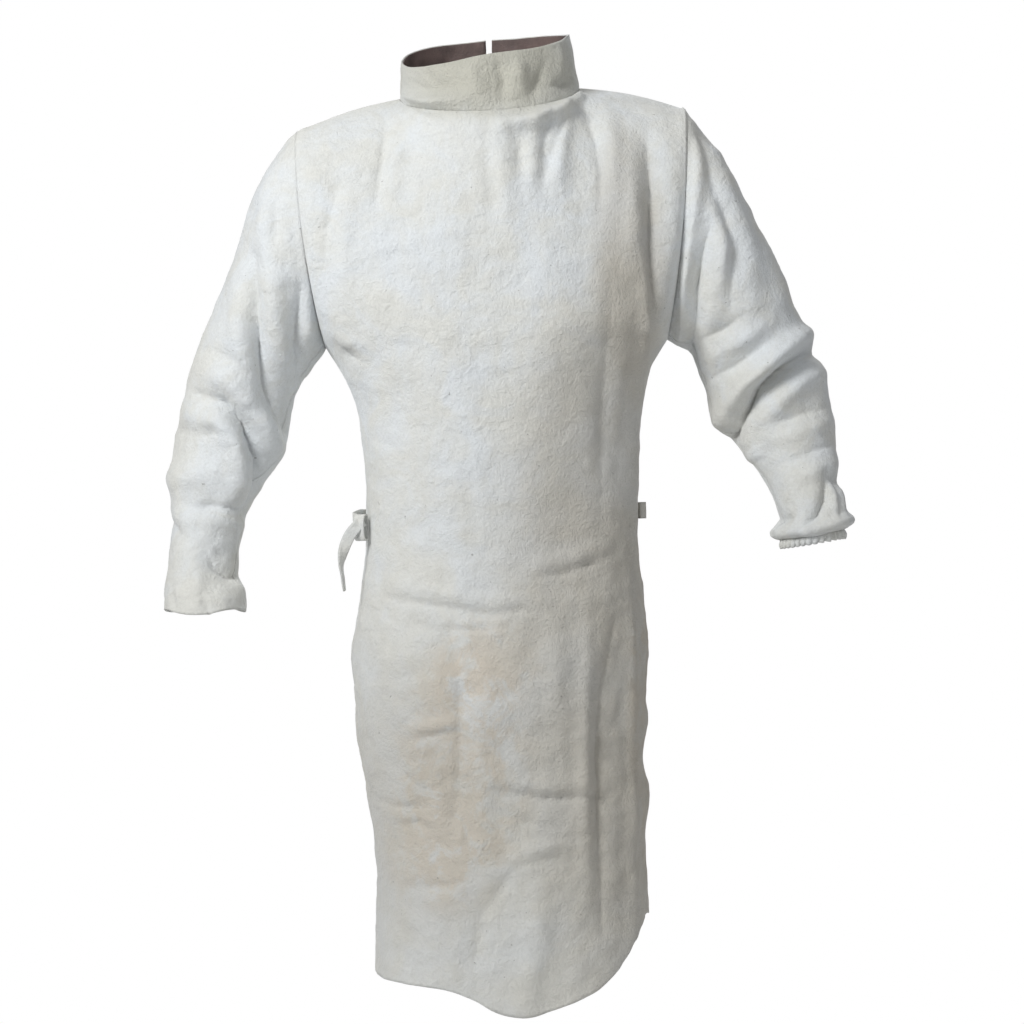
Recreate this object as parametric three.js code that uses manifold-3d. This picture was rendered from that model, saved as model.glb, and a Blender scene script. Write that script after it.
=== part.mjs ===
// A sleeved apron of split leather: one full-length front, two side panels that wrap to the back, a back
// yoke in two halves, a lined stand collar, two-piece sleeves with elastic in the cuffs, press-stud
// tabs down the back and a tied waist strap. It is shaped as it hangs on a wearer, arms a little away
// from the body. Millimetres. +Z is up, the wearer faces -Y, the wearer's left is +X, and the origin is
// in the middle of the neck.
import * as THREE from "three";
import { mergeVertices } from "three/addons/utils/BufferGeometryUtils.js";
import Module from "manifold-3d";

const wasm = await Module();
wasm.setup();

// ---- driving dimensions -------------------------------------------------------------------------
const LEATHER = 1.6; // split cow hide
const LINING = 1.2; // grain leather inside the collar
const SEAM_GAP = 0.5; // between the edges of two panels that are sewn together
const NECK = { halfWidth: 110, halfDepth: 96, y: 8, side: 10, frontDrop: 38, backRise: 15 };
const COLLAR = { front: 67, side: 55, back: 69, tilt: 9, lean: 7, openHalfAngle: 3.5 };
const SHOULDER = { x: 237, z: -25 };
const ARMPIT = { x: 208, z: -298 };
const ARMHOLE = { halfDepth: 76, bulge: 4.5 };
const CHEST_DEPTH = 127; // from the middle to the front at the armpits
const WAIST_Z = -505;
const YOKE_HEM_Z = -400;
const BACK_OPENING = 4; // from the centre back to each yoke's edge
const HEM_Z = -1032; // the hem's height at the centre back
// The hem's own line round the body, [degrees from the front, z], the wearer's left positive.
const HEM_LINE = [
  [-180, -1032], [-120, -1036], [-90, -1038], [-72, -1044], [-45, -1050], [-24, -1057], [-12, -1072],
  [-4, -1087], [3, -1093], [11.5, -1087], [26.5, -1073], [37, -1060], [50, -1032], [63.7, -997],
  [79, -981], [90, -980], [120, -1002], [180, -1032],
];
const SECTION_POWER = 2 / 2.4; // squareness of the trunk's cross-section
const STRAP = { width: 20, thick: 2.2, lift: 1 };
// The strap's tail, from the keeper down to its tip.
const TAIL = [
  [-178, -58, -508], [-188, -59, -528], [-195, -58, -550], [-193, -55, -570], [-190, -52, -600],
];
// The tabs run across the centre back, x from the wearer's right to left.
const TAB = { root: -46, hinge: -31, tip: 33, width: 26, thick: 2, standoff: 2.4 };
const STUD = { x: 21, ball: 2.4, shank: 1.6 };

// Half-widths and half-depths of the trunk down the body, [height, measure].
const HALF_WIDTH = [
  [-298, 208], [-335, 184], [-400, 169], [-520, 164], [-665, 181], [-850, 168], [-1000, 165], [-1100, 167],
];
const HALF_DEPTH = [[-298, CHEST_DEPTH], [-400, 120], [-520, 113], [-665, 123], [-850, 119], [-1100, 121]];
// The angle from the front at which each side panel starts and ends.
const SIDE_SEAM = [[-298, 90], [-400, 86], [-500, 82], [-1100, 82]];
const BACK_EDGE = [[-400, 128], [-505, 138], [-700, 133], [-1100, 124]];

// Sleeve outlines, [x, z] from shoulder to wrist along the outer arm, from armpit to wrist along the
// inner arm, with the sleeve's half-depth and the y of its middle at the same stations.
const SLEEVES = {
  right: {
    side: -1,
    outer: [
      [SHOULDER.x, SHOULDER.z], [284, -90], [320, -190], [364, -305], [398, -400], [403, -490], [408, -555],
      [411, -612],
    ],
    inner: [
      [ARMPIT.x, ARMPIT.z], [214, -308], [226, -322], [246, -352], [261, -420], [301, -484], [318, -545],
      [318, -608],
    ],
    depth: [76, 80, 80, 76, 68, 54, 48, 47],
    middle: [1, 3, 8, 13, 12, -8, -34, -60],
  },
  left: {
    side: 1,
    outer: [
      [SHOULDER.x, SHOULDER.z], [284, -90], [324, -185], [364, -275], [402, -350], [416, -425], [424, -500],
      [416, -545],
    ],
    inner: [
      [ARMPIT.x, ARMPIT.z], [226, -306], [243, -320], [252, -355], [266, -405], [306, -450], [332, -505],
      [344, -548],
    ],
    depth: [76, 80, 80, 76, 66, 54, 48, 38],
    middle: [1, 3, 8, 13, 12, -6, -30, -48],
  },
};
const UNDER_SEAM_FRONT = 166; // degrees round the sleeve from its top, through the front
const UNDER_SEAM_BACK = 258;
const CASING = 0.045; // share of the sleeve's length that the elastic casing takes at the wrist

// ---- materials ----------------------------------------------------------------------------------
function finish(color, roughness, metalness = 0) {
  return new THREE.MeshStandardMaterial({ color, roughness, metalness });
}

const split = finish(0xdadbd6, 0.95);
const grain = finish(0x6f625c, 0.7);
const elastic = finish(0xe9e7e0, 0.85);
const steel = finish(0xb9bbbd, 0.3, 1);

// ---- small tools --------------------------------------------------------------------------------
const rad = THREE.MathUtils.degToRad;
const mix = THREE.MathUtils.lerp;
const vec = (x, y, z) => new THREE.Vector3(x, y, z);
const power = (value, exponent) => Math.sign(value) * Math.abs(value) ** exponent;

// A smooth value read off a chart of [position, value] rows, in falling or rising order of position.
function read(chart, at) {
  const rising = chart[chart.length - 1][0] > chart[0][0] ? 1 : -1;
  const last = chart.length - 2;
  let i = 0;
  while (i < last && rising * (at - chart[i + 1][0]) > 0) i += 1;
  const slope = (k) => {
    const a = chart[Math.max(k - 1, 0)];
    const b = chart[Math.min(k + 1, chart.length - 1)];
    return (b[1] - a[1]) / (b[0] - a[0]);
  };
  const [x0, y0] = chart[i];
  const [x1, y1] = chart[i + 1];
  const h = x1 - x0;
  const t = THREE.MathUtils.clamp((at - x0) / h, 0, 1);
  const a = (1 + 2 * t) * (1 - t) ** 2 * y0 + t * t * (3 - 2 * t) * y1;
  return a + h * (t * (1 - t) ** 2 * slope(i) + t * t * (t - 1) * slope(i + 1));
}

function signedVolume(geometry) {
  const p = geometry.getAttribute("position");
  const index = geometry.index.array;
  const [a, b, c] = [vec(), vec(), vec()];
  let sum = 0;
  for (let i = 0; i < index.length; i += 3) {
    a.fromBufferAttribute(p, index[i]);
    b.fromBufferAttribute(p, index[i + 1]);
    c.fromBufferAttribute(p, index[i + 2]);
    sum += a.dot(b.cross(c));
  }
  return sum / 6;
}

// Keeps only the shape, with shared corners merged and every face pointing out.
function closed(geometry) {
  const bare = geometry.index ? geometry : mergeVertices(geometry);
  bare.deleteAttribute("normal");
  bare.deleteAttribute("uv");
  const merged = mergeVertices(bare, 1e-3);
  const old = merged.index.array;
  const faces = [];
  for (let i = 0; i < old.length; i += 3) {
    const [a, b, c] = [old[i], old[i + 1], old[i + 2]];
    if (a !== b && b !== c && c !== a) faces.push(a, b, c);
  }
  merged.setIndex(faces);
  if (signedVolume(merged) < 0) {
    const index = merged.index.array;
    for (let i = 0; i < index.length; i += 3) [index[i], index[i + 1]] = [index[i + 1], index[i]];
  }
  return merged;
}

function solid(geometry) {
  return new wasm.Manifold(
    new wasm.Mesh({
      numProp: 3,
      vertProperties: new Float32Array(geometry.getAttribute("position").array),
      triVerts: new Uint32Array(geometry.index.array),
    }),
  );
}

function cutAway(geometry, tools) {
  const left = tools.reduce((rest, tool) => rest.subtract(solid(tool)), solid(geometry));
  const mesh = left.getMesh();
  const cut = new THREE.BufferGeometry();
  cut.setAttribute("position", new THREE.BufferAttribute(mesh.vertProperties, 3));
  cut.setIndex(new THREE.BufferAttribute(mesh.triVerts, 1));
  return cut;
}

function named(name, geometry, material) {
  const mesh = new THREE.Mesh(geometry, material);
  mesh.name = name;
  return mesh;
}

// A sheet of leather: a thin box of columns by rows wrapped on a surface. place(u, v, depth) gives a
// point for u across and v along, both from 0 to 1, at a depth under the outer face.
function sheet(place, columns, rows, thick, under = 0) {
  const box = new THREE.BoxGeometry(1, 1, 1, columns, rows, 1);
  const p = box.getAttribute("position");
  for (let i = 0; i < p.count; i += 1) {
    const depth = under + (p.getZ(i) > 0 ? 0 : thick);
    const at = place(p.getX(i) + 0.5, p.getY(i) + 0.5, depth);
    p.setXYZ(i, at.x, at.y, at.z);
  }
  return closed(box);
}

// A closed band: a lathe-turned ring of the given number of segments, wrapped on a surface in the same way.
function band(place, segments, rows, thick, under = 0) {
  const profile = [];
  for (let k = 0; k <= rows; k += 1) profile.push(new THREE.Vector2(2, k / rows));
  for (let k = rows; k >= 0; k -= 1) profile.push(new THREE.Vector2(1, k / rows));
  profile.push(profile[0].clone());
  const ring = new THREE.LatheGeometry(profile, segments);
  const p = ring.getAttribute("position");
  for (let i = 0; i < p.count; i += 1) {
    const turn = Math.atan2(p.getX(i), p.getZ(i)) / (2 * Math.PI);
    const depth = under + (Math.hypot(p.getX(i), p.getZ(i)) > 1.5 ? 0 : thick);
    const at = place((turn + 1) % 1, p.getY(i), depth);
    p.setXYZ(i, at.x, at.y, at.z);
  }
  return closed(ring);
}

// ---- trunk --------------------------------------------------------------------------------------
// The lines inside the body, down its middle and across its shoulders, that each panel's thickness
// points to.
const CORE = [
  new THREE.Line3(vec(0, 0, -1200), vec(0, 0, -140)),
  new THREE.Line3(vec(-150, 0, -115), vec(150, 0, -115)),
];

function inward(point, depth) {
  const pull = vec();
  for (const line of CORE) {
    const near = line.closestPointToPoint(point, true, vec()).sub(point);
    pull.addScaledVector(near, near.length() ** -5);
  }
  return point.clone().addScaledVector(pull.normalize(), depth);
}

// The angle from the front whose section point lies at a share of the half-width.
const toAngle = (share) => THREE.MathUtils.radToDeg(Math.asin(power(share, 1 / SECTION_POWER)));

// The trunk's cross-section below the armpits. phi is in degrees from the front, positive to the
// wearer's left.
function section(phi, z) {
  const x = read(HALF_WIDTH, z) * power(Math.sin(rad(phi)), SECTION_POWER);
  const y = -read(HALF_DEPTH, z) * power(Math.cos(rad(phi)), SECTION_POWER);
  return vec(x, y, z);
}

// The armhole: turn is 0 at the shoulder, 180 at the armpit, and positive through the front.
function armhole(turn, side) {
  const sine = Math.sin(rad(turn));
  const cosine = Math.cos(rad(turn));
  const x = mix(ARMPIT.x, SHOULDER.x, (1 + cosine) / 2) + ARMHOLE.bulge * sine * sine;
  return vec(side * x, -ARMHOLE.halfDepth * sine, mix(ARMPIT.z, SHOULDER.z, (1 + cosine) / 2));
}

function neckRing(alpha) {
  const cosine = Math.cos(alpha);
  const fall = cosine > 0 ? NECK.frontDrop : NECK.backRise;
  const z = NECK.side - fall * Math.abs(cosine) * Math.sign(cosine);
  return vec(NECK.halfWidth * Math.sin(alpha), NECK.y - NECK.halfDepth * cosine, z);
}

// The top edge of the front (facing 1) or the yoke (facing -1), by share from shoulder point to shoulder
// point: shoulder seam, neck, shoulder seam.
function topEdge(share, facing) {
  const neckShare = NECK.halfWidth / SHOULDER.x;
  if (Math.abs(share) < neckShare) {
    const alpha = (share / neckShare) * (Math.PI / 2);
    return neckRing(facing > 0 ? alpha : Math.PI - alpha);
  }
  const along = (Math.abs(share) - neckShare) / (1 - neckShare);
  const rise = 5 * Math.sin(Math.PI * along);
  return vec(share * SHOULDER.x, mix(NECK.y, 0, along), mix(NECK.side, SHOULDER.z, along) + rise);
}

// The trunk from the shoulders (drop 0) to the armpits (drop 1). share runs across from armhole to armhole.
function chest(share, drop, facing) {
  const bow = Math.max(0, 1 - Math.abs(share) ** (2 / SECTION_POWER)) ** (SECTION_POWER / 2);
  const edge = armhole(180 * drop, 1);
  const neck = neckRing(facing > 0 ? 0 : Math.PI);
  const swell = Math.sin(rad(90 * drop));
  const sink = (1 - Math.cos(rad(180 * drop))) / 2;
  const middle = vec(0, mix(neck.y, -facing * CHEST_DEPTH, swell), mix(neck.z, ARMPIT.z, sink));
  const plain = (e, m) => vec(share * e.x, mix(facing * e.y, m.y, bow), mix(e.z, m.z, 1 - share * share));
  const point = plain(edge, middle);
  const top = plain(armhole(0, 1), neck);
  return point.add(topEdge(share, facing).sub(top).multiplyScalar((1 - drop) ** 3));
}

// Columns are even along the shoulders and gather towards the sides lower down. linear and phi name one
// column as a share and as an angle.
function chestColumn(linear, phi, drop, facing) {
  const rounded = power(Math.sin(rad(phi)), SECTION_POWER);
  const share = mix(linear, rounded, THREE.MathUtils.smoothstep(drop, 0, 1));
  return chest(share, drop, facing);
}

function hemZ(phi) {
  return read(HEM_LINE, phi);
}

const CHEST_SHARE = 0.4; // of the front panel's rows that lie above the armpits
function frontPanel(u, v, depth) {
  const turned = 2 * u - 1;
  if (v < CHEST_SHARE) return inward(chestColumn(turned, turned * 90, v / CHEST_SHARE, 1), depth);
  const t = (v - CHEST_SHARE) / (1 - CHEST_SHARE);
  const level = mix(ARMPIT.z, HEM_Z, t);
  const phi = turned * (read(SIDE_SEAM, level) - 0.15 * Math.min(1, 8 * t));
  return inward(section(phi, mix(ARMPIT.z, hemZ(phi), t)), depth);
}

const YOKE_CHEST_SHARE = 0.72;
function backYoke(side) {
  const rim = 180 - toAngle(BACK_OPENING / SHOULDER.x);
  return (u, v, depth) => {
    const t = Math.max(0, (v - YOKE_CHEST_SHARE) / (1 - YOKE_CHEST_SHARE));
    const level = mix(ARMPIT.z, YOKE_HEM_Z, t);
    const start = read(SIDE_SEAM, level) + 0.15 * Math.min(1, 8 * t);
    const phi = side * mix(start, rim, u);
    const drop = Math.min(1, v / YOKE_CHEST_SHARE);
    const linear = side * mix(1, BACK_OPENING / SHOULDER.x, u);
    const point = t > 0 ? section(phi, level) : chestColumn(linear, phi, drop, -1);
    point.y += SEAM_GAP * (1 - drop) + 0.2;
    return inward(point, depth);
  };
}

function sidePanel(side) {
  return (u, v, depth) => {
    const level = mix(YOKE_HEM_Z - SEAM_GAP, HEM_Z, v);
    const phi = side * mix(read(SIDE_SEAM, level) + 0.15, read(BACK_EDGE, level), u);
    return inward(section(phi, mix(YOKE_HEM_Z - SEAM_GAP, hemZ(phi), v)), depth);
  };
}

// ---- collar -------------------------------------------------------------------------------------
function collarAt(alpha, v, depth) {
  const cosine = Math.cos(alpha);
  const base = neckRing(alpha);
  const level = mix(COLLAR.side, cosine > 0 ? COLLAR.front : COLLAR.back, cosine * cosine);
  const tall = level + COLLAR.tilt * Math.sin(alpha);
  const inset = COLLAR.lean * v + depth;
  return vec(base.x - inset * Math.sin(alpha), base.y + inset * cosine, base.z + SEAM_GAP + tall * v);
}

const collar = (u, v, depth) => collarAt(rad(mix(-1, 1, u) * (180 - COLLAR.openHalfAngle)), v, depth);

// ---- sleeves ------------------------------------------------------------------------------------
// A point on a sleeve: turn is in degrees from the top or outer arm through the front, along from 0 to 1.
function sleeve(spec) {
  const chart = (values) => values.map((value, k) => [k / (values.length - 1), value]);
  const columns = {
    outerX: chart(spec.outer.map((p) => p[0])),
    outerZ: chart(spec.outer.map((p) => p[1])),
    innerX: chart(spec.inner.map((p) => p[0])),
    innerZ: chart(spec.inner.map((p) => p[1])),
    depth: chart(spec.depth),
    middle: chart(spec.middle),
  };
  return (turn, along, under) => {
    const at = (name) => read(columns[name], along);
    const half = vec((at("outerX") - at("innerX")) / 2, 0, (at("outerZ") - at("innerZ")) / 2);
    const middle = vec((at("outerX") + at("innerX")) / 2, at("middle"), (at("outerZ") + at("innerZ")) / 2);
    const cosine = Math.cos(rad(turn));
    const sine = Math.sin(rad(turn));
    const wide = half.length() - under;
    const point = middle.addScaledVector(half.normalize(), wide * cosine);
    point.y -= (at("depth") - under) * sine;
    point.x += ARMHOLE.bulge * sine * sine * (1 - along) ** 6 + SEAM_GAP + 0.2;
    point.x *= spec.side;
    return point;
  };
}

function addSleeve(group, name, spec) {
  const shape = sleeve(spec);
  const upper = (u, v, depth) =>
    shape(mix(UNDER_SEAM_BACK - 360 + 0.2, UNDER_SEAM_FRONT - 0.2, u), v, depth);
  const under = (u, v, depth) => shape(mix(UNDER_SEAM_FRONT + 0.2, UNDER_SEAM_BACK - 0.2, u), v, depth);
  const casing = (u, v, depth) => shape(360 * u, mix(1 - CASING, 1, v), depth);
  group.add(
    named(`${name}_sleeve_upper`, sheet(upper, 15, 16, LEATHER), split),
    named(`${name}_sleeve_under`, sheet(under, 6, 16, LEATHER), split),
    named(`${name}_cuff_elastic`, band(casing, 24, 1, 1.5, LEATHER + 1.3), elastic),
    named(`${name}_cuff_hem`, band(casing, 24, 1, LINING, LEATHER + 3.3), split),
  );
}

// ---- press studs --------------------------------------------------------------------------------
// Turned parts are drawn as [radius, height] from the axis round to the axis, height 0 at the leather's
// outer face and growing outwards.
function turned(points, segments = 16) {
  const profile = points.map(([radius, height]) => new THREE.Vector2(radius, height));
  return closed(new THREE.LatheGeometry(profile, segments).rotateX(Math.PI / 2));
}

function studPost(grip) {
  const under = -grip - 0.5;
  return turned([
    [0, under - 1], [3.6, under - 1], [3.6, under], [STUD.shank, under], [STUD.shank, 0.5],
    [3.8, 0.5], [3.8, 1],
    [2.1, 1], [STUD.ball, 1.5], [STUD.ball - 0.3, 2.3], [0, 2.4],
  ]);
}

function studCap() {
  const [low, high] = [TAB.standoff, TAB.standoff + TAB.thick];
  const bore = STUD.ball + 0.5;
  return turned([
    [0, 2.8], [bore, 2.8], [bore, 1.2], [5, 1.2], [5, low - 0.4], [3.8, low - 0.4], [3.8, high + 0.4],
    [6.2, high + 0.4], [5.5, high + 1.4], [3, high + 2], [0, high + 2.1],
  ]);
}

const hole = (radius) => turned([[0, -9], [radius + 0.3, -9], [radius + 0.3, 9], [0, 9]], 12);

// Seats a part drawn about +Z on the centre back's surface, square to it.
function seated(geometry, { place, level, perMm }) {
  const across = place(STUD.x + 2, level, 0).sub(place(STUD.x - 2, level, 0)).normalize();
  const up = place(STUD.x, level + 2 * perMm, 0).sub(place(STUD.x, level - 2 * perMm, 0));
  const out = up.cross(across).normalize();
  const frame = new THREE.Matrix4().makeBasis(across, out.clone().cross(across), out);
  return geometry.applyMatrix4(frame.setPosition(place(STUD.x, level, 0)));
}

// ---- centre back --------------------------------------------------------------------------------
// Both surfaces are read by x across the back and by level.
const onCollar = (x, level, depth) => collarAt(Math.PI - Math.asin(x / NECK.halfWidth), level, depth);

function onBack(x, level, depth) {
  const neckZ = neckRing(Math.PI).z;
  if (level < ARMPIT.z) {
    const share = x / read(HALF_WIDTH, level);
    return inward(section(180 - toAngle(share), level), depth);
  }
  const drop = Math.acos(1 - (2 * (level - neckZ)) / (ARMPIT.z - neckZ)) / Math.PI;
  return inward(chest(x / armhole(180 * drop, 1).x, drop, -1), depth);
}

const TABS = [
  { name: "collar", place: onCollar, level: 0.42, perMm: 1 / COLLAR.back, grip: LEATHER + LINING + 0.3 },
  { name: "upper_back", place: onBack, level: -150, perMm: 1, grip: LEATHER },
  { name: "lower_back", place: onBack, level: -370, perMm: 1, grip: LEATHER },
];

function addTab(fixed, moving, tab) {
  const { name, place, level, perMm, grip } = tab;
  const strip = (from, to, width, lift, tip) => (u, v, depth) => {
    const round = tip ? Math.sqrt(1 - 0.75 * THREE.MathUtils.clamp((u - 0.72) / 0.28, 0, 1) ** 2) : 1;
    return place(mix(from, to, u), level + (v - 0.5) * width * round * perMm, depth - lift);
  };
  const top = TAB.standoff + TAB.thick;
  const flap = sheet(strip(TAB.hinge + 0.3, TAB.tip, TAB.width, top, true), 12, 1, TAB.thick);
  const root = sheet(strip(TAB.root, TAB.hinge - 0.3, TAB.width, top - 0.2, false), 3, 1, TAB.thick + 1.6);
  const through = seated(hole(3.8), tab);
  moving.add(
    named(`${name}_tab`, cutAway(flap, [through]), split),
    named(`${name}_stud_cap`, seated(studCap(), tab), steel),
  );
  fixed.add(
    named(`${name}_tab_root`, root, split),
    named(`${name}_stud_post`, seated(studPost(grip), tab), steel),
  );
}

// ---- waist strap --------------------------------------------------------------------------------
// A strap laid along a curve, its width along across(u) and its thickness on the inside of the curve.
function strap(curve, across, steps, width = STRAP.width) {
  const place = (u, v, depth) => {
    const wide = across(u).normalize();
    const out = curve.getTangentAt(u).cross(wide).normalize();
    return curve.getPointAt(u).addScaledVector(wide, (v - 0.5) * width).addScaledVector(out, -depth);
  };
  return sheet(place, steps, 1, STRAP.thick);
}

function waistStrap() {
  const round = (phi, lift) => inward(section(phi, WAIST_Z), -lift - STRAP.thick);
  const points = [round(84.5, 1.2), round(88, 8), round(96, 7.5), round(108, 3.4)];
  for (let phi = 120; phi <= 264; phi += 12) points.push(round(phi, STRAP.lift));
  points.push(round(272, 3.6), vec(-177, -17, WAIST_Z - 3), vec(-178.5, -32, WAIST_Z - 6));
  return strap(new THREE.CatmullRomCurve3(points), () => vec(0, 0, 1), 44);
}

// The keeper: a flat loop of leather sewn to the front panel's right edge. The strap's end is drawn
// through it.
function keeper() {
  const along = vec(0.9, -0.43, 0).normalize();
  const out = vec(-along.y, along.x, 0).negate();
  const centre = vec(-167.7, -48, WAIST_Z - 15);
  return (u, v, depth) => {
    const [cosine, sine] = [Math.cos(2 * Math.PI * u), Math.sin(2 * Math.PI * u)];
    return centre
      .clone()
      .addScaledVector(along, (v - 0.5) * 18)
      .addScaledVector(out, (6.4 - depth) * power(cosine, 0.7))
      .add(vec(0, 0, (21 - depth) * power(sine, 0.7)));
  };
}

function strapTail() {
  const points = TAIL.map(([x, y, z]) => vec(x, y, z));
  const curve = new THREE.CatmullRomCurve3(points);
  const across = (u) => {
    const turn = rad(mix(0, 40, THREE.MathUtils.smoothstep(u, 0.3, 0.8)));
    return curve.getTangentAt(u).cross(vec(-Math.sin(turn), Math.cos(turn), 0));
  };
  return strap(curve, across, 12, 18);
}

// ---- the assembly -------------------------------------------------------------------------------
const apron = new THREE.Group();
const body = new THREE.Group();
apron.add(body);

for (const tab of TABS) {
  const flap = new THREE.Group();
  addTab(body, flap, tab);
  apron.add(flap);
}
const [collarHole, ...yokeHoles] = TABS.map((tab) => seated(hole(STUD.shank), tab));

body.add(
  named("front_panel", sheet(frontPanel, 26, 26, LEATHER), split),
  named("right_side_panel", sheet(sidePanel(-1), 5, 16, LEATHER), split),
  named("left_side_panel", sheet(sidePanel(1), 5, 16, LEATHER), split),
  named("right_back_yoke", sheet(backYoke(-1), 9, 12, LEATHER), split),
  named("left_back_yoke", cutAway(sheet(backYoke(1), 9, 12, LEATHER), yokeHoles), split),
  named("collar", cutAway(sheet(collar, 36, 2, LEATHER), [collarHole]), split),
  named("collar_lining", cutAway(sheet(collar, 36, 2, LINING, LEATHER + 0.3), [collarHole]), grain),
  named("waist_strap", waistStrap(), split),
  named("strap_keeper", band(keeper(), 20, 1, STRAP.thick), split),
);

const tail = new THREE.Group();
tail.add(named("strap_tail", strapTail(), split));
apron.add(tail);

for (const [side, spec] of Object.entries(SLEEVES)) {
  const group = new THREE.Group();
  addSleeve(group, side, spec);
  apron.add(group);
}

export default apron;
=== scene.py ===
"""A sleeved apron of split leather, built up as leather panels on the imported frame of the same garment.

The garment hangs as on a wearer who faces -Y, the wearer's left at +X. Shapes are worked out in
millimetres and written to the meshes in metres.
"""

import math

import bmesh
import bpy
import numpy as np
from bpy.props import FloatProperty, FloatVectorProperty, IntProperty, PointerProperty
from mathutils import Matrix, Vector, noise


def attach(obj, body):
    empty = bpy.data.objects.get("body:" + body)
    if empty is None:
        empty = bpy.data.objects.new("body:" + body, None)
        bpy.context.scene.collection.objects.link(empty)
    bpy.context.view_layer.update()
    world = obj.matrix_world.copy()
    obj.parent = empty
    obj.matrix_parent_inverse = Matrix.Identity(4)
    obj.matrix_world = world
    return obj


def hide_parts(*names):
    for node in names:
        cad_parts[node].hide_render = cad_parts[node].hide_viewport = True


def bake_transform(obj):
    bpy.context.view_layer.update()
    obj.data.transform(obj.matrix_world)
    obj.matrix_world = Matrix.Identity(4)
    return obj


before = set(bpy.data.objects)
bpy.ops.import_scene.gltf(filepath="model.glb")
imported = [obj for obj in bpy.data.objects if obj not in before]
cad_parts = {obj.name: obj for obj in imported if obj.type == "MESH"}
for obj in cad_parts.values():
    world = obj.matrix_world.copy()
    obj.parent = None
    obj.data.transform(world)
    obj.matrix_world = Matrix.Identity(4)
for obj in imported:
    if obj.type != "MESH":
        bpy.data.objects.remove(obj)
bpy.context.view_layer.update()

bl_info = {
    "name": "Sleeved leather apron",
    "version": (1, 0, 0),
    "blender": (4, 5, 0),
    "location": "3D View > Sidebar > Apron",
    "description": "Builds a sleeved apron of split leather, panel by panel",
    "category": "Object",
}

MM = 0.001

# ---- the garment's measures, in millimetres --------------------------------------------------------

NECK = {"width": 110, "depth": 96, "y": 8, "side": 10, "front_drop": 38, "back_rise": 15}
COLLAR_LEAN = 7
COLLAR_OPEN = 2.2  # degrees from the centre back to each end of the collar
# The height of the collar's rim round the neck, [degrees from the front, height].
COLLAR_RIM = [
    (-180, 94), (-140, 86), (-110, 70), (-90, 55), (-60, 38), (-30, 34), (0, 40), (30, 46), (60, 60),
    (80, 72), (100, 79), (140, 90), (180, 94),
]
COLLAR_LENGTH, COLLAR_HEIGHT, COLLAR_MM_PER_DEGREE = 640, 70, 1.75  # of the collar unrolled
LINING_GAP, LINING_THICK = 0.15, 1.2
SHOULDER = (237, -25)
ARMPIT = (208, -298)
SHOULDER_LEAN = 8  # the left shoulder is carried this much higher, the right this much lower
SHOULDER_ARCH = 5  # how far the shoulder seam rises between the neck and the shoulder's point
ARMHOLE_DEPTH, ARMHOLE_BULGE = 76, 4.5
CHEST_DEPTH = 127
WAIST, YOKE_HEM = -505, -400
BACK_OPENING = 4
FRONT_CHEST, YOKE_CHEST = 0.3, 0.72  # shares of each panel's length that lie above the armpits
HEM = -1032  # at the centre back
# The hem's line round the body, [degrees from the front, z].
HEM_LINE = [
    (-180, -1032), (-120, -1040), (-90, -1049), (-72, -1054), (-45, -1056), (-24, -1060), (-12, -1072),
    (-4, -1087), (3, -1093), (11.5, -1087), (26.5, -1073), (37, -1060), (50, -1035), (63.7, -1004),
    (79, -990), (90, -996), (120, -1008), (180, -1032),
]
SQUARENESS = 2 / 2.4  # of the trunk's cross-section
RIGHT_WIDTH = [
    (-298, 208), (-335, 186), (-366, 172), (-400, 168), (-464, 163), (-550, 165), (-610, 174),
    (-670, 186), (-720, 183), (-780, 179), (-850, 168), (-940, 162), (-1030, 167), (-1100, 170),
]
LEFT_WIDTH = [
    (-298, 208), (-335, 184), (-366, 172), (-400, 168), (-464, 167), (-560, 167), (-610, 172),
    (-683, 173), (-732, 169), (-760, 172), (-805, 166), (-850, 173), (-900, 166), (-1000, 168),
    (-1100, 167),
]
DEPTH = [(-298, CHEST_DEPTH), (-400, 120), (-520, 113), (-665, 123), (-850, 119), (-1100, 121)]
SIDE_SEAM = [(-298, 90), (-400, 86), (-500, 82), (-1100, 82)]
BACK_EDGE = [(-400, 128), (-505, 138), (-700, 133), (-1100, 124)]

# Each sleeve's outline: the outer arm from the shoulder and the inner arm from the armpit, both to the
# wrist, then its half-depth and the y of its middle at the same stations. Its cuff is gathered in by
# "gather", and its edge rises and falls by "wave".
SLEEVES = {
    "right": {
        "side": -1,
        "outer": [
            SHOULDER, (284, -90), (320, -190), (368, -302), (394, -395), (402, -486),
            (401, -555), (405, -610),
        ],
        "inner": [
            ARMPIT, (214, -308), (226, -322), (246, -352), (261, -420), (301, -484),
            (317, -548), (306, -612),
        ],
        "gather": 0,
        "wave": 3,
        "depth": [76, 80, 80, 76, 68, 54, 48, 47],
        "middle": [1, 3, 8, 13, 12, -8, -34, -60],
    },
    "left": {
        "side": 1,
        "outer": [
            SHOULDER, (284, -90), (324, -185), (370, -275), (402, -350), (409, -425),
            (413, -498), (424, -531),
        ],
        "inner": [
            ARMPIT, (226, -306), (243, -320), (254, -355), (268, -405), (308, -452),
            (333, -508), (321, -546),
        ],
        "gather": 15,
        "wave": 0,
        "depth": [76, 80, 80, 76, 66, 54, 48, 38],
        "middle": [1, 3, 8, 13, 12, -6, -30, -48],
    },
}
UNDER_SEAM = (166, 258)  # degrees round the sleeve from its top, through the front
CUFF_FROM = {"gather": 0.955, "wave": 0.94}  # the share of a sleeve's length where each begins

# How far each kind of panel runs across and along, which sets how many cells its mesh has.
SPANS = {
    "front": (560, 1180), "side": (150, 640), "yoke": (250, 420), "collar": (COLLAR_LENGTH, 90),
    "sleeve_upper": (330, 620), "sleeve_under": (120, 620),
}
FEWEST_CELLS = 4
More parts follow.
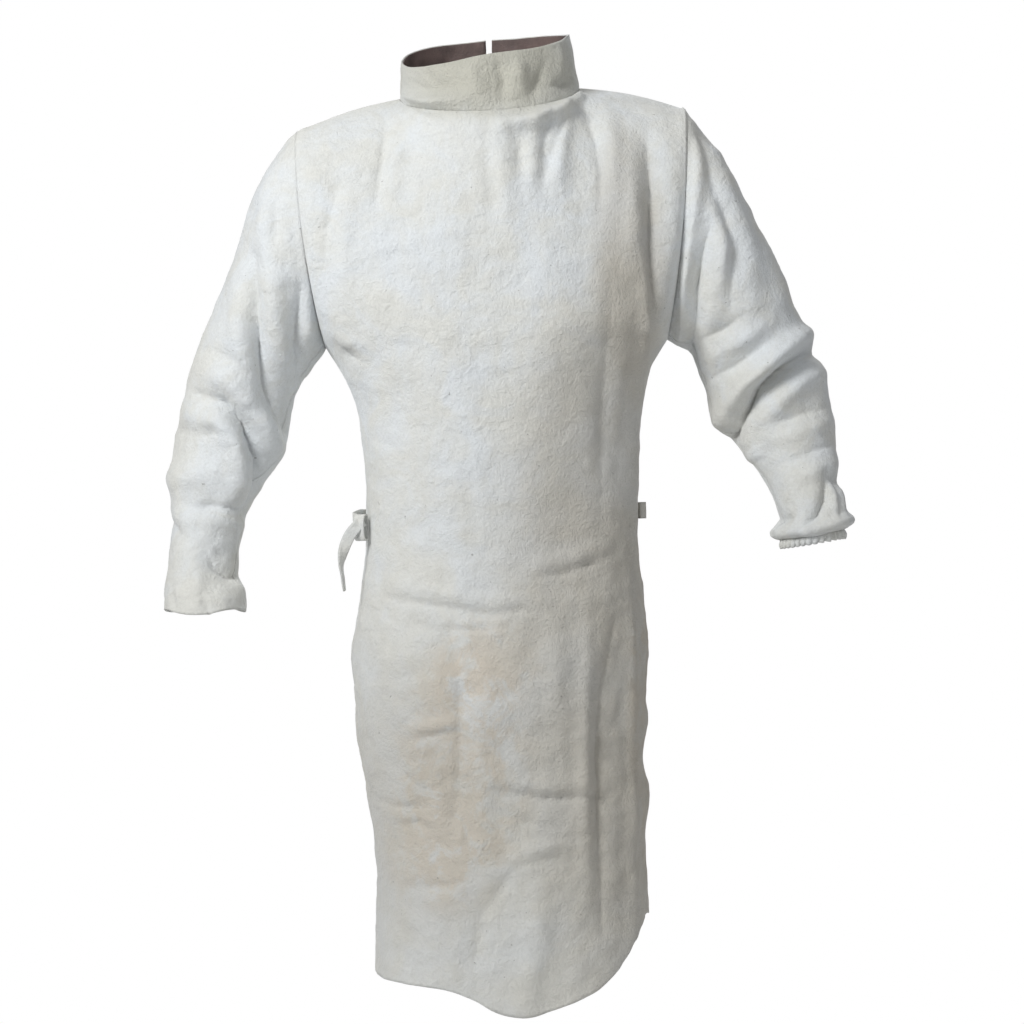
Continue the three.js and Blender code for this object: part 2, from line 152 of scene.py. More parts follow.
# The cells of the small pieces' meshes, which don't follow the mesh step.
CELLS = {
    "frill": (420, 10), "cuff_band": (120, 10), "tab": (32, 12), "tab_root": (8, 12),
    "strap": (150, 8), "keeper": (64, 8), "tail": (44, 8),
}
EVENED, ROUNDS = 0.7, 50  # how strongly a body panel's grid is evened out, and how often
FAR = 99  # stands for any distance past the reach of a seam
WELD = 0.02  # points closer than this are joined where a piece closes on itself

# ---- folds ------------------------------------------------------------------------------------------
# Each fold is (height, half-width, line): a ridge where the height is positive, a valley where it is
# negative. The line is drawn on the garment as seen from the front (or the back), [x, z].

FRONT_FOLDS = [
    (-5, 9, [(-124, -22), (-128, -70), (-138, -135)]),
    (3, 12, [(-106, -25), (-112, -80), (-118, -130)]),
    (-3.5, 13, [(-182, -110), (-196, -160), (-206, -240)]),
    (3, 12, [(-168, -90), (-176, -180), (-178, -270)]),
    (-3.5, 10, [(-6, -62), (-3, -110), (2, -165)]),
    (2.5, 12, [(14, -60), (15, -110), (16, -180)]),
    (-4, 8, [(30, -50), (34, -80), (36, -112)]),
    (3, 9, [(50, -50), (50, -90), (46, -130)]),
    (12, 9, [(14, -48), (52, -42), (86, -26), (106, -6)]),
    (4, 8, [(-104, -6), (-84, -30), (-50, -46)]),
    (-5, 7, [(98, -14), (84, -50), (70, -90), (58, -124)]),
    (-5, 8, [(72, -30), (66, -60), (60, -110)]),
    (4, 9, [(90, -25), (84, -70), (78, -120)]),
    (-5, 7, [(112, -14), (124, -60), (130, -105), (124, -165)]),
    (4, 10, [(142, -30), (146, -80), (144, -140)]),
    (-14, 13, [(186, -66), (188, -120), (185, -190), (190, -265)]),
    (6, 12, [(165, -80), (166, -150), (166, -220)]),
    (5, 8, [(178, -160), (179, -230), (178, -300), (167, -360), (162, -430), (160, -520)]),
    (-6, 26, [(138, -240), (130, -330), (124, -420), (120, -520)]),
    (-5, 6, [(-186, -300), (-176, -312), (-164, -318)]),
    (4, 8, [(-190, -286), (-176, -296), (-160, -300)]),
    (1.4, 6, [(-162, -196), (-100, -186), (-38, -168)]),
    (-4.5, 5, [(-140, -600), (-80, -610), (-23, -622), (44, -616)]),
    (-3.5, 4, [(-96, -634), (-40, -640), (10, -636)]),
    (3, 9, [(-130, -586), (-70, -597), (-10, -607), (50, -603)]),
    (-4, 5, [(42, -580), (80, -574), (124, -560)]),
    (3, 8, [(44, -566), (80, -560), (120, -547)]),
    (-7, 8, [(130, -640), (116, -700), (109, -753), (107, -841), (108, -930), (107, -1000)]),
    (5, 9, [(98, -610), (95, -690), (92, -770), (90, -850), (88, -960)]),
    (5, 8, [(152, -600), (150, -760), (148, -900), (146, -1010)]),
    (-4.5, 5, [(-22, -828), (40, -838), (118, -840)]),
    (3, 9, [(-20, -814), (40, -824), (112, -826)]),
    (-4, 5, [(0, -858), (58, -876)]),
    (-2.6, 5, [(8, -916), (66, -908)]),
    (3, 8, [(12, -900), (64, -894)]),
    (-3.5, 6, [(-114, -942), (-56, -935)]),
    (-4, 5, [(-160, -840), (-132, -848), (-96, -846)]),
    (-3.5, 5, [(-140, -872), (-104, -866), (-84, -878)]),
    (3, 8, [(-118, -756), (-46, -744)]),
    (-2.6, 4, [(-130, -798), (-106, -822), (-84, -826)]),
    (-2.6, 4, [(-66, -842), (-50, -872), (-46, -906)]),
    (-2.4, 4, [(-112, -892), (-90, -884), (-66, -892)]),
    (-2.4, 4, [(-84, -780), (-72, -812), (-70, -840)]),
    (-2.4, 4, [(46, -760), (58, -790), (60, -820)]),
    (-2.2, 4, [(28, -880), (80, -888), (104, -878)]),
    (-3, 5, [(-112, -766), (-60, -758)]),
    (-4, 7, [(-30, -972), (-8, -938), (8, -918)]),
    (-5, 16, [(-60, -640), (-52, -720), (-56, -800), (-70, -900)]),
    (5, 18, [(40, -940), (30, -1000), (12, -1080)]),
    (-5, 18, [(-34, -960), (-40, -1010), (-44, -1060)]),
    (4, 14, [(64, -640), (58, -700), (62, -780)]),
    (2.5, 16, [(-20, -700), (-26, -800), (-34, -930)]),
]

BACK_FOLDS = [
    (-6, 12, [(-150, -60), (-140, -150), (-112, -260), (-70, -370)]),
    (5, 15, [(-118, -70), (-108, -160), (-84, -260)]),
    (-6, 12, [(152, -66), (146, -160), (118, -262), (76, -372)]),
    (5, 15, [(120, -70), (112, -160), (88, -262)]),
    (-4, 10, [(-60, -30), (-66, -90), (-60, -150)]),
    (-4, 10, [(58, -30), (64, -96), (56, -160)]),
    (-5, 12, [(-182, -210), (-160, -290), (-120, -352)]),
    (-5, 12, [(184, -214), (158, -300), (116, -356)]),
    (4, 12, [(-150, -300), (-100, -372)]),
    (4, 12, [(150, -306), (98, -376)]),
    (-5, 12, [(-150, -470), (-140, -560), (-146, -680), (-140, -820)]),
    (4, 12, [(-126, -540), (-122, -680), (-124, -860)]),
    (-5, 12, [(148, -460), (142, -570), (150, -700), (146, -900)]),
    (4, 12, [(126, -540), (128, -700), (124, -880)]),
]

SLEEVE_FOLDS = {
    "right": [
        (-4, 9, [(-256, -105), (-259, -140), (-260, -185)]),
        (3, 10, [(-272, -110), (-278, -170)]),
        (-16, 11, [(-288, -190), (-288, -263), (-274, -345), (-255, -400)]),
        (7, 15, [(-264, -190), (-262, -270), (-250, -340)]),
        (5, 13, [(-312, -210), (-306, -290), (-290, -350)]),
        (-9, 7, [(-230, -232), (-236, -280), (-241, -330)]),
        (5, 8, [(-222, -250), (-226, -300)]),
        (-5, 9, [(-350, -296), (-316, -312), (-292, -340), (-272, -372)]),
        (5, 11, [(-352, -322), (-322, -338), (-300, -362)]),
        (-20, 9, [(-366, -350), (-330, -362), (-303, -392), (-286, -432), (-292, -470), (-306, -500)]),
        (12, 13, [(-366, -378), (-332, -388), (-314, -416), (-310, -452), (-326, -482)]),
        (7, 12, [(-300, -366), (-276, -396), (-262, -432)]),
        (-4, 6, [(-360, -400), (-338, -398), (-319, -404)]),
        (-8, 9, [(-372, -486), (-340, -486), (-306, -492)]),
        (9, 17, [(-412, -458), (-384, -450), (-344, -450)]),
        (-7, 9, [(-412, -500), (-396, -508), (-380, -520)]),
        (-6, 10, [(-404, -384), (-392, -392), (-372, -396)]),
        (4, 10, [(-390, -500), (-350, -504), (-316, -510)]),
        (-4, 8, [(-344, -534), (-323, -552)]),
        (3, 8, [(-370, -540), (-358, -570), (-362, -604)]),
        (-8, 9, [(-304, -566), (-322, -572), (-338, -560), (-350, -540)]),
        (4, 12, [(-340, -600), (-322, -590), (-306, -600)]),
        (-5, 5, [(-342, -618), (-346, -606), (-354, -592)]),
        (-3, 7, [(-392, -575), (-386, -612)]),
    ],
    "left": [
        (5, 9, [(243, -40), (247, -90), (240, -150), (224, -236)]),
        (-6, 9, [(252, -57), (260, -112), (274, -152), (284, -202), (280, -270)]),
        (6, 12, [(270, -80), (284, -140), (304, -210), (312, -260)]),
        (8, 20, [(312, -150), (334, -220), (352, -278)]),
        (7, 10, [(262, -150), (272, -190), (268, -240)]),
        (-12, 9, [(256, -178), (246, -206), (238, -246), (236, -308)]),
        (7, 9, [(228, -200), (222, -250), (222, -296)]),
        (5, 12, [(258, -250), (254, -300), (262, -350)]),
        (-6, 9, [(246, -302), (270, -293), (296, -278)]),
        (5, 9, [(262, -322), (296, -306), (330, -284)]),
        (-6, 8, [(258, -348), (290, -334), (326, -308)]),
        (18, 13, [(392, -292), (372, -300), (334, -324), (300, -356), (272, -398)]),
        (-27, 6.5, [(400, -318), (372, -324), (340, -344), (310, -367), (290, -398), (282, -426)]),
        (9, 12, [(402, -342), (372, -352), (344, -374), (320, -402)]),
        (6, 10, [(300, -432), (312, -452)]),
        (-5, 8, [(316, -408), (352, -398), (396, -386)]),
        (4, 9, [(320, -426), (360, -416), (400, -404)]),
        (-5, 8, [(340, -452), (368, -442), (402, -430)]),
        (4, 9, [(346, -470), (380, -462), (410, -452)]),
        (-10, 8, [(390, -466), (387, -498), (376, -515), (354, -531)]),
        (6, 7, [(316, -540), (370, -534), (432, -519)]),
        (-7, 6, [(324, -522), (334, -521), (348, -516)]),
        (-8, 10, [(416, -478), (404, -476), (392, -470)]),
        (4, 4, [(397, -476), (399, -518)]),
        (4, 4, [(406, -478), (409, -516)]),
    ],
}
SLEEVE_BACK_FOLDS = {
    "right": [
        (-8, 10, [(-262, -150), (-276, -240), (-300, -330)]),
        (6, 13, [(-240, -160), (-252, -250), (-272, -330)]),
        (-8, 9, [(-262, -350), (-300, -372), (-350, -380), (-392, -372)]),
        (7, 12, [(-270, -380), (-310, -402), (-360, -408), (-398, -396)]),
        (-7, 9, [(-280, -416), (-320, -436), (-372, -438), (-404, -428)]),
        (5, 11, [(-300, -462), (-340, -470), (-396, -462)]),
        (-5, 9, [(-318, -500), (-360, -508), (-400, -498)]),
        (-5, 8, [(-340, -550), (-350, -604)]),
    ],
    "left": [
        (-8, 10, [(262, -150), (280, -240), (306, -320)]),
        (6, 13, [(240, -160), (256, -250), (280, -330)]),
        (-9, 9, [(262, -356), (300, -350), (350, -322), (388, -300)]),
        (7, 12, [(272, -386), (310, -378), (360, -352), (398, -330)]),
        (-7, 9, [(286, -414), (330, -404), (376, -384), (412, -368)]),
        (5, 11, [(312, -440), (356, -428), (410, -404)]),
        (-5, 9, [(334, -470), (376, -458), (416, -440)]),
        (-5, 8, [(356, -500), (370, -536)]),
        (6, 7, [(316, -540), (370, -534), (432, -519)]),
        (-6, 8, [(330, -520), (372, -512), (410, -498)]),
    ],
}

FOLD_ENDS, FOLD_FADE = (0.08, 0.92), 0.6  # how a fold dies away towards its ends
VALLEY = 1.3  # how sharply a valley closes up
# Size, scale, stretch and seed for waver(): slow waves and a finer rumple over the panels and sleeves,
# and the ripples of the collar and the straps.
WAVES, RUMPLE = (3.0, 95, (1, 1, 0.55), 3.1), (1.0, 30, (0.8, 1, 1), 7.7)
RIPPLES = {
    "collar": (1.5, 30, (1, 1, 1), 2.2), "strap": (0.5, 30, (1, 1, 1), 5.5),
    "tail": (1.0, 22, (1, 1, 1), 1.5),
}
RUMPLE_DEPTH, SKIRT_TOP = (1.2, 2.0), (-500, -640)  # above and below the skirt's top

# The collar's folds, drawn on it unrolled: [degrees from the front, share of its height].
COLLAR_FOLDS = [
    (9, 9, [(-70, 0.26), (-44, 0.16), (-14, 0.24)]),
    (-5, 9, [(-46, 0.95), (-36, 0.6), (-26, 0.42)]),
    (-4, 7, [(-60, 0.62), (-40, 0.46), (-24, 0.5)]),
    (5, 8, [(-12, 0.9), (-8, 0.5), (-6, 0.2)]),
    (-6, 8, [(40, 0.3), (58, 0.22), (78, 0.3)]),
    (-8, 8, [(5, 0.95), (9, 0.5), (8, 0.15)]),
    (6, 9, [(20, 0.85), (19, 0.35)]),
    (-6, 10, [(40, 0.7), (32, 0.35), (26, 0.1)]),
    (4, 12, [(58, 0.9), (56, 0.5), (48, 0.3)]),
    (-3, 12, [(-120, 0.9), (-126, 0.3)]),
    (-3, 12, [(132, 0.9), (124, 0.3)]),
    (3, 12, [(-150, 0.8), (-148, 0.2)]),
    (3, 12, [(156, 0.8), (150, 0.2)]),
]

# The waist strap's tail, from the keeper to its tip.
TAIL = [
    (-164, -52, -509), (-173, -57, -516), (-182, -58, -528), (-188, -58, -543), (-190.5, -57, -561),
    (-189.5, -55, -579), (-188, -53, -592),
]
TAIL_WIDTH = [(0, 13), (0.35, 14), (0.6, 11), (1, 6)]  # by share of its length
TAIL_TWIST = 78  # degrees that the tail turns as it falls
KEEPER = {
    "centre": (-167, -48, WAIST - 12), "along": (0.902, -0.431, 0.0), "outward": (-0.431, -0.902, 0.0),
    "width": 13, "depth": 7.2, "height": 16,
}
STRAP = {"width": 20, "thick": 2.2, "lift": 1}
# The strap's ends stand off the body: [degrees from the front, lift], from its left end and at its right.
STRAP_LEFT, STRAP_RIGHT = [(84.5, 1.2), (88, 8), (96, 7.5), (108, 3.4)], (272, 3.6)
STRAP_END = [(-177, -17, WAIST - 2), (-178.5, -32, WAIST - 4), (-174, -42, WAIST - 5)]

FRILL, PLEATS = 12, 30  # the left cuff's gathered edge, and the pleats in it
FRILL_FLARE, PLEAT_DEPTH = 5.5, 2.2
CUFF_SPAN = (0.965, 0.995)  # where the bands lie, by share of the sleeve's length
# Each band in a cuff: its name, how far inside the sleeve it lies, its thickness and its finish.
CUFF_BANDS = (("elastic", 3.0, 1.4, "elastic"), ("hem", 4.8, 1.2, "split_leather"))

TAB = {"root": -46, "hinge": -31, "tip": 33, "width": 26, "thick": 2, "lift": 2.4}
HINGE_GAP = (0.7, 0.9)  # from the fold line to the sewn root's edge and to the tab's
ROOT_PAD = 1.6  # how much thicker the sewn root is than the tab


# ---- shapes ----------------------------------------------------------------------------------------


def chart(rows, at):
    """A smooth reading at each of the given places of a chart of (place, value) rows."""
    place, value = np.array(sorted(rows), float).T
    slope = np.empty_like(value)
    slope[1:-1] = (value[2:] - value[:-2]) / (place[2:] - place[:-2])
    slope[0] = (value[1] - value[0]) / (place[1] - place[0])
    slope[-1] = (value[-1] - value[-2]) / (place[-1] - place[-2])
    i = np.clip(np.searchsorted(place, at) - 1, 0, len(place) - 2)
    gap = place[i + 1] - place[i]
    t = np.clip((at - place[i]) / gap, 0, 1)
    start, end = (1 + 2 * t) * (1 - t) ** 2, t * t * (3 - 2 * t)
    bend = t * (1 - t) ** 2 * slope[i] + t * t * (t - 1) * slope[i + 1]
    return start * value[i] + end * value[i + 1] + gap * bend


def smoothstep(low, high, value):
    t = np.clip((value - low) / (high - low), 0, 1)
    return t * t * (3 - 2 * t)


def mix(a, b, t):
    return a + (b - a) * t


def power(value, exponent):
    return np.sign(value) * np.abs(value) ** exponent


def points(x, y, z):
    return np.stack(np.broadcast_arrays(x, y, z), axis=-1).astype(float)


def section(phi, z):
    """The trunk below the armpits: phi in degrees from the front, positive to the wearer's left."""
    width = np.where(phi < 0, chart(RIGHT_WIDTH, z), chart(LEFT_WIDTH, z))
    sine, cosine = np.sin(np.radians(phi)), np.cos(np.radians(phi))
    return points(width * power(sine, SQUARENESS), -chart(DEPTH, z) * power(cosine, SQUARENESS), z)


def armhole(turn, side=1):
    """The seam round an armhole: turn is 0 at the shoulder, 180 at the armpit, through the front."""
    sine, cosine = np.sin(np.radians(turn)), np.cos(np.radians(turn))
    x = mix(ARMPIT[0], SHOULDER[0], (1 + cosine) / 2) + ARMHOLE_BULGE * sine * sine
    return points(side * x, -ARMHOLE_DEPTH * sine, mix(ARMPIT[1], SHOULDER[1], (1 + cosine) / 2))


def neck_ring(alpha):
    """The seam between the collar and the body, alpha in radians from the front."""
    cosine = np.cos(alpha)
    z = NECK["side"] - np.where(cosine > 0, NECK["front_drop"], NECK["back_rise"]) * cosine
    return points(NECK["width"] * np.sin(alpha), NECK["y"] - NECK["depth"] * cosine, z)


def top_edge(share, facing):
    """Shoulder seam, neck and shoulder seam, by share from one shoulder's point to the other."""
    neck_share = NECK["width"] / SHOULDER[0]
    alpha = np.clip(share / neck_share, -1, 1) * math.pi / 2
    ring = neck_ring(alpha if facing > 0 else math.pi - alpha)
    along = np.clip((np.abs(share) - neck_share) / (1 - neck_share), 0, 1)
    z = mix(NECK["side"], SHOULDER[1], along) + SHOULDER_ARCH * np.sin(math.pi * along)
    seam = points(share * SHOULDER[0], mix(NECK["y"], 0, along), z)
    return np.where((np.abs(share) < neck_share)[..., None], ring, seam)


def chest(share, drop, facing):
    """The trunk from the shoulders (drop 0) to the armpits (drop 1), share from armhole to armhole."""
    bow = np.clip(1 - np.abs(share) ** (2 / SQUARENESS), 0, 1) ** (SQUARENESS / 2)
    neck = neck_ring(np.array(0.0 if facing > 0 else math.pi))

    def plain(edge, middle_y, middle_z):
        x, y, z = edge[..., 0], edge[..., 1], edge[..., 2]
        return points(share * x, mix(facing * y, middle_y, bow), mix(z, middle_z, 1 - share * share))

    sink = (1 - np.cos(math.pi * drop)) / 2
    swell = np.sin(math.pi / 2 * drop)
    middle_y, middle_z = mix(neck[1], -facing * CHEST_DEPTH, swell), mix(neck[2], ARMPIT[1], sink)
    point = plain(armhole(180 * drop), middle_y, middle_z)
    top = plain(armhole(0 * drop), neck[1], neck[2])
    return point + (top_edge(share, facing) - top) * ((1 - drop) ** 3)[..., None]


def chest_column(linear, phi, drop, facing):
    share = mix(linear, power(np.sin(np.radians(phi)), SQUARENESS), smoothstep(0, 1, drop))
    return chest(share, drop, facing)


def front_surface(u, v):
    """The front panel: u from the wearer's right to left, v from the neck to the hem, both 0 to 1."""
    across = 2 * u - 1
    drop = np.clip(v / FRONT_CHEST, 0, 1)
    t = np.clip((v - FRONT_CHEST) / (1 - FRONT_CHEST), 0, 1)
    phi = across * chart(SIDE_SEAM, mix(ARMPIT[1], HEM, t))
    upper = chest_column(across, across * 90, drop, 1)
    lower = section(phi, mix(ARMPIT[1], chart(HEM_LINE, phi), t))
    return np.where((v < FRONT_CHEST)[..., None], upper, lower)


def yoke_surface(side):
    """Half the back yoke: u from the side seam to the centre back, v from the shoulder down."""
    rim_share = BACK_OPENING / SHOULDER[0]
    rim = 180 - math.degrees(math.asin(rim_share ** (1 / SQUARENESS)))

    def surface(u, v):
        drop = np.clip(v / YOKE_CHEST, 0, 1)
        t = np.clip((v - YOKE_CHEST) / (1 - YOKE_CHEST), 0, 1)
        level = mix(ARMPIT[1], YOKE_HEM, t)
        phi = side * mix(chart(SIDE_SEAM, level), rim, u)
        upper = chest_column(side * mix(1, rim_share, u), side * mix(90, rim, u), drop, -1)
        return np.where((v < YOKE_CHEST)[..., None], upper, section(phi, level))

    return surface


def side_surface(side):
    """A side panel: u from the side seam round to the open back's edge, v from the yoke to the hem."""

    def surface(u, v):
        level = mix(YOKE_HEM, HEM, v)
        phi = side * mix(chart(SIDE_SEAM, level), chart(BACK_EDGE, level), u)
        return section(phi, mix(YOKE_HEM, chart(HEM_LINE, phi), v))

    return surface


def collar_point(alpha, v, depth=0):
    """The collar: alpha in degrees from the front, v from the neck seam to the rim."""
    base = neck_ring(np.radians(alpha))
    inset = COLLAR_LEAN * v * (1 + 0.6 * np.sin(np.radians(alpha))) + depth
    x = base[..., 0] - inset * np.sin(np.radians(alpha))
    y = base[..., 1] + inset * np.cos(np.radians(alpha))
    return points(x, y, mix(base[..., 2], chart(COLLAR_RIM, alpha), v))


def sleeve_point(spec, turn, along, under=0.0):
    """A sleeve: turn in degrees from the outer arm through the front, along from armhole to wrist."""
    under = under + spec["gather"] * smoothstep(CUFF_FROM["gather"], 1.0, along) ** 1.5

    def read(values):
        return chart([(k / (len(values) - 1), value) for k, value in enumerate(values)], along)

    outer = points(read([p[0] for p in spec["outer"]]), 0, read([p[1] for p in spec["outer"]]))
    inner = points(read([p[0] for p in spec["inner"]]), 0, read([p[1] for p in spec["inner"]]))
    half = (outer - inner) / 2
    wide = np.linalg.norm(half, axis=-1, keepdims=True)
    sine, cosine = np.sin(np.radians(turn)), np.cos(np.radians(turn))
    point = (outer + inner) / 2 + half / wide * (wide - np.asarray(under)[..., None]) * cosine[..., None]
    point[..., 1] += read(spec["middle"]) - (read(spec["depth"]) - under) * sine
    point[..., 0] += ARMHOLE_BULGE * sine**2 * (1 - along) ** 6
    point[..., 0] *= spec["side"]
    rise = spec["wave"] * np.sin(np.radians(3 * turn + 20))
    point[..., 2] += rise * smoothstep(CUFF_FROM["wave"], 1.0, along)
    return point


# ---- folding ---------------------------------------------------------------------------------------


def fold_heights(flat, folds):
    """How far each point of an array of (x, z) is pushed out by a list of folds."""
    height = np.zeros(flat.shape[:-1])
    for size, width, line in folds:
        knots = np.array(line, float)
        steps = np.linalg.norm(np.diff(knots, axis=0), axis=1)
        total, start = steps.sum(), 0.0
        nearest = np.full(height.shape, 1e9)
        place = np.zeros(height.shape)
        for a, b, step in zip(knots[:-1], knots[1:], steps):
            run = (b - a) / step
            t = np.clip((flat - a) @ run, 0, step)
            away = np.linalg.norm(flat - (a + t[..., None] * run), axis=-1)
            closer = away < nearest
            nearest = np.where(closer, away, nearest)
            place = np.where(closer, start + t, place)
            start += step
        ends = np.sin(math.pi * np.clip(place / total, *FOLD_ENDS)) ** FOLD_FADE
        profile = np.exp(-((nearest / width) ** 2)) if size > 0 else np.exp(-VALLEY * nearest / width)
        height += size * ends * profile
    return height


def waver(place, size, scale, stretch, seed):
    """Slow uneven waves over an array of points, stretched along one axis."""
    flat = place.reshape(-1, 3) * np.array(stretch) / scale
    out = [noise.fractal(Vector(p) + Vector((seed, -seed, seed * 0.5)), 1.0, 2.0, 3) for p in flat]
    return size * np.array(out).reshape(place.shape[:-1])


class Sheet:
    """Points in a grid over a leather panel, u across and v along; folds and seams are pressed in."""

    def __init__(self, surface, columns, rows, outward=1):
        self.columns, self.rows = columns, rows
        self.u, self.v = np.meshgrid(np.linspace(0, 1, columns + 1), np.linspace(0, 1, rows + 1))
        self.points = surface(self.u, self.v)
        x, z = self.points[..., 0], self.points[..., 2]
        self.points[..., 2] += SHOULDER_LEAN * np.clip(x / SHOULDER[0], -1, 1) * smoothstep(-300, -60, z)
        self.outward = outward

    def normals(self):
        across = np.gradient(self.points, axis=1)
        along = np.gradient(self.points, axis=0)
        normal = np.cross(along, across)
        length = np.linalg.norm(normal, axis=-1, keepdims=True)
        return self.outward * normal / np.maximum(length, 1e-9)

    def lengths(self):
        """Millimetres from the left, right, top and bottom edges, measured on the leather."""
        across = np.linalg.norm(np.diff(self.points, axis=1), axis=-1)
        along = np.linalg.norm(np.diff(self.points, axis=0), axis=-1)
        left = np.hstack([np.zeros((self.rows + 1, 1)), np.cumsum(across, axis=1)])
        top = np.vstack([np.zeros((1, self.columns + 1)), np.cumsum(along, axis=0)])
        return left, left[:, -1:] - left, top, top[-1:, :] - top

    def push(self, height):
        self.points = self.points + self.normals() * height[..., None]

    def relax(self, weight, rounds):
        """Evens out the grid where the weight is high, edges held."""
        for _ in range(rounds):
            p = self.points
            middle = (p[1:-1, :-2] + p[1:-1, 2:] + p[:-2, 1:-1] + p[2:, 1:-1]) / 4
            p[1:-1, 1:-1] += (middle - p[1:-1, 1:-1]) * weight[1:-1, 1:-1, None]

    def edge_distance(self, edges):
        lengths = dict(zip("lrtb", self.lengths()))
        found = [lengths[edge] for edge in edges]
        return np.minimum.reduce(found) if found else np.full(self.u.shape, float(FAR))

    def tuck(self, edge, reach=3, under=2.2):
        """Runs an edge on a little way under its neighbour."""
        normals = self.normals()
        outer, inner = {
            "t": (np.s_[0], np.s_[1]), "b": (np.s_[-1], np.s_[-2]), "l": (np.s_[:, 0], np.s_[:, 1])
        }[edge]
        away = self.points[outer] - self.points[inner]
        away = away / np.linalg.norm(away, axis=-1, keepdims=True)
        self.points[outer] += away * reach - normals[outer] * under
        self.points[inner] -= normals[inner] * under * 0.15

    def sew(self, edges, dip=1.0, width=4.0):
        """Draws the sewn edges in, as a seam does."""
        self.push(-dip * np.exp(-((self.edge_distance(edges) / width) ** 2)))


def facing(normals, towards):
    """1 where a surface looks towards the front (-1) or the back (1), falling to 0 past its sides."""
    return smoothstep(-0.35, 0.3, normals[..., 1] * towards)


def press_folds(sheet, front, back, edges, taper=16):
    """Pushes the drawn folds into a sheet, with slow waves and a rumple that is stronger on the skirt."""
    normals = sheet.normals()
    flat = sheet.points[..., [0, 2]]
    height = fold_heights(flat, front) * facing(normals, -1) + fold_heights(flat, back) * facing(normals, 1)
    rumple = mix(*RUMPLE_DEPTH, smoothstep(*SKIRT_TOP, sheet.points[..., 2]))
    height += waver(sheet.points, *WAVES) + rumple * waver(sheet.points, *RUMPLE)
    scale = bpy.context.scene.apron_leather.fold_scale
    sheet.push(height * scale * smoothstep(0, taper, sheet.edge_distance(edges)))


# ---- meshes ----------------------------------------------------------------------------------------


def new_object(name, bm):
    mesh = bpy.data.meshes.new(name)
    bm.to_mesh(mesh)
    bm.free()
    for polygon in mesh.polygons:
        polygon.use_smooth = True
    piece = bpy.data.objects.new(name, mesh)
    bpy.context.scene.collection.objects.link(piece)
    return piece


def sheet_object(name, sheet, seams="", closed=False, thickness=None, material="split_leather"):
    """A piece from a sheet: its outer face in the mesh, its thickness from a Solidify modifier."""
    bm = bmesh.new()
    bm.loops.layers.uv.new("UVMap")
    bmesh.ops.create_grid(bm, x_segments=sheet.columns, y_segments=sheet.rows, size=1, calc_uvs=True)
    uv = bm.loops.layers.uv.active
    seam_layer = bm.verts.layers.float.new("seam")
    left, _, top, _ = sheet.lengths()
    distance = sheet.edge_distance(seams)
    for vert in bm.verts:
        i = round((vert.co.x + 1) / 2 * sheet.columns)
        j = round((1 - vert.co.y) / 2 * sheet.rows)
        vert.co = Vector(sheet.points[j, i]) * MM
        vert[seam_layer] = float(min(distance[j, i], FAR))
        for loop in vert.link_loops:
            loop[uv].uv = (left[j, i] * MM, top[j, i] * MM)
    if closed:
        bmesh.ops.remove_doubles(bm, verts=bm.verts, dist=WELD * MM)
    bm.normal_update()
    centre = round((sheet.rows + 1) / 2), round((sheet.columns + 1) / 2)
    wanted, place = Vector(sheet.normals()[centre]), Vector(sheet.points[centre]) * MM
    middle = min(bm.faces, key=lambda face: (face.calc_center_median() - place).length)
    if middle.normal.dot(wanted) < 0:
        bmesh.ops.reverse_faces(bm, faces=bm.faces)
    piece = new_object(name, bm)
    piece.data.materials.append(finish(material))
    solid = piece.modifiers.new("Leather", "SOLIDIFY")
    solid.thickness = (thickness or bpy.context.scene.apron_leather.thickness / MM) * MM
    solid.offset = -1
    solid.use_even_offset = False
    return piece


# ---- materials -------------------------------------------------------------------------------------


class Value:
    """A shader socket that adds Math nodes as it is used in arithmetic."""

    def __init__(self, shade, socket):
        self.shade, self.socket = shade, socket

    def _with(self, operation, *others):
        inputs = dict(enumerate((self, *others)))
        return self.shade.node("ShaderNodeMath", {"operation": operation}, inputs)[0]

    def __add__(self, other):
        return self._with("ADD", other)

    def __sub__(self, other):
        return self._with("SUBTRACT", other)

    def __rsub__(self, other):
        return self.shade.node("ShaderNodeMath", {"operation": "SUBTRACT"}, {0: other, 1: self})[0]

    def __mul__(self, other):
        return self._with("MULTIPLY", other)

    __radd__, __rmul__ = __add__, __mul__

    def __pow__(self, other):
        return self._with("POWER", other)

    def part(self):
        return self._with("FRACT")

    def size(self):
        return self._with("ABSOLUTE")

    def limit(self):
        return self.shade.node("ShaderNodeClamp", {}, {"Value": self})[0]

    def step(self, low, high):
        """0 below low and 1 above high, smooth between."""
        inputs = {"Value": self, "From Min": low, "From Max": high}
        return self.shade.node("ShaderNodeMapRange", {"interpolation_type": "SMOOTHSTEP"}, inputs)[0]


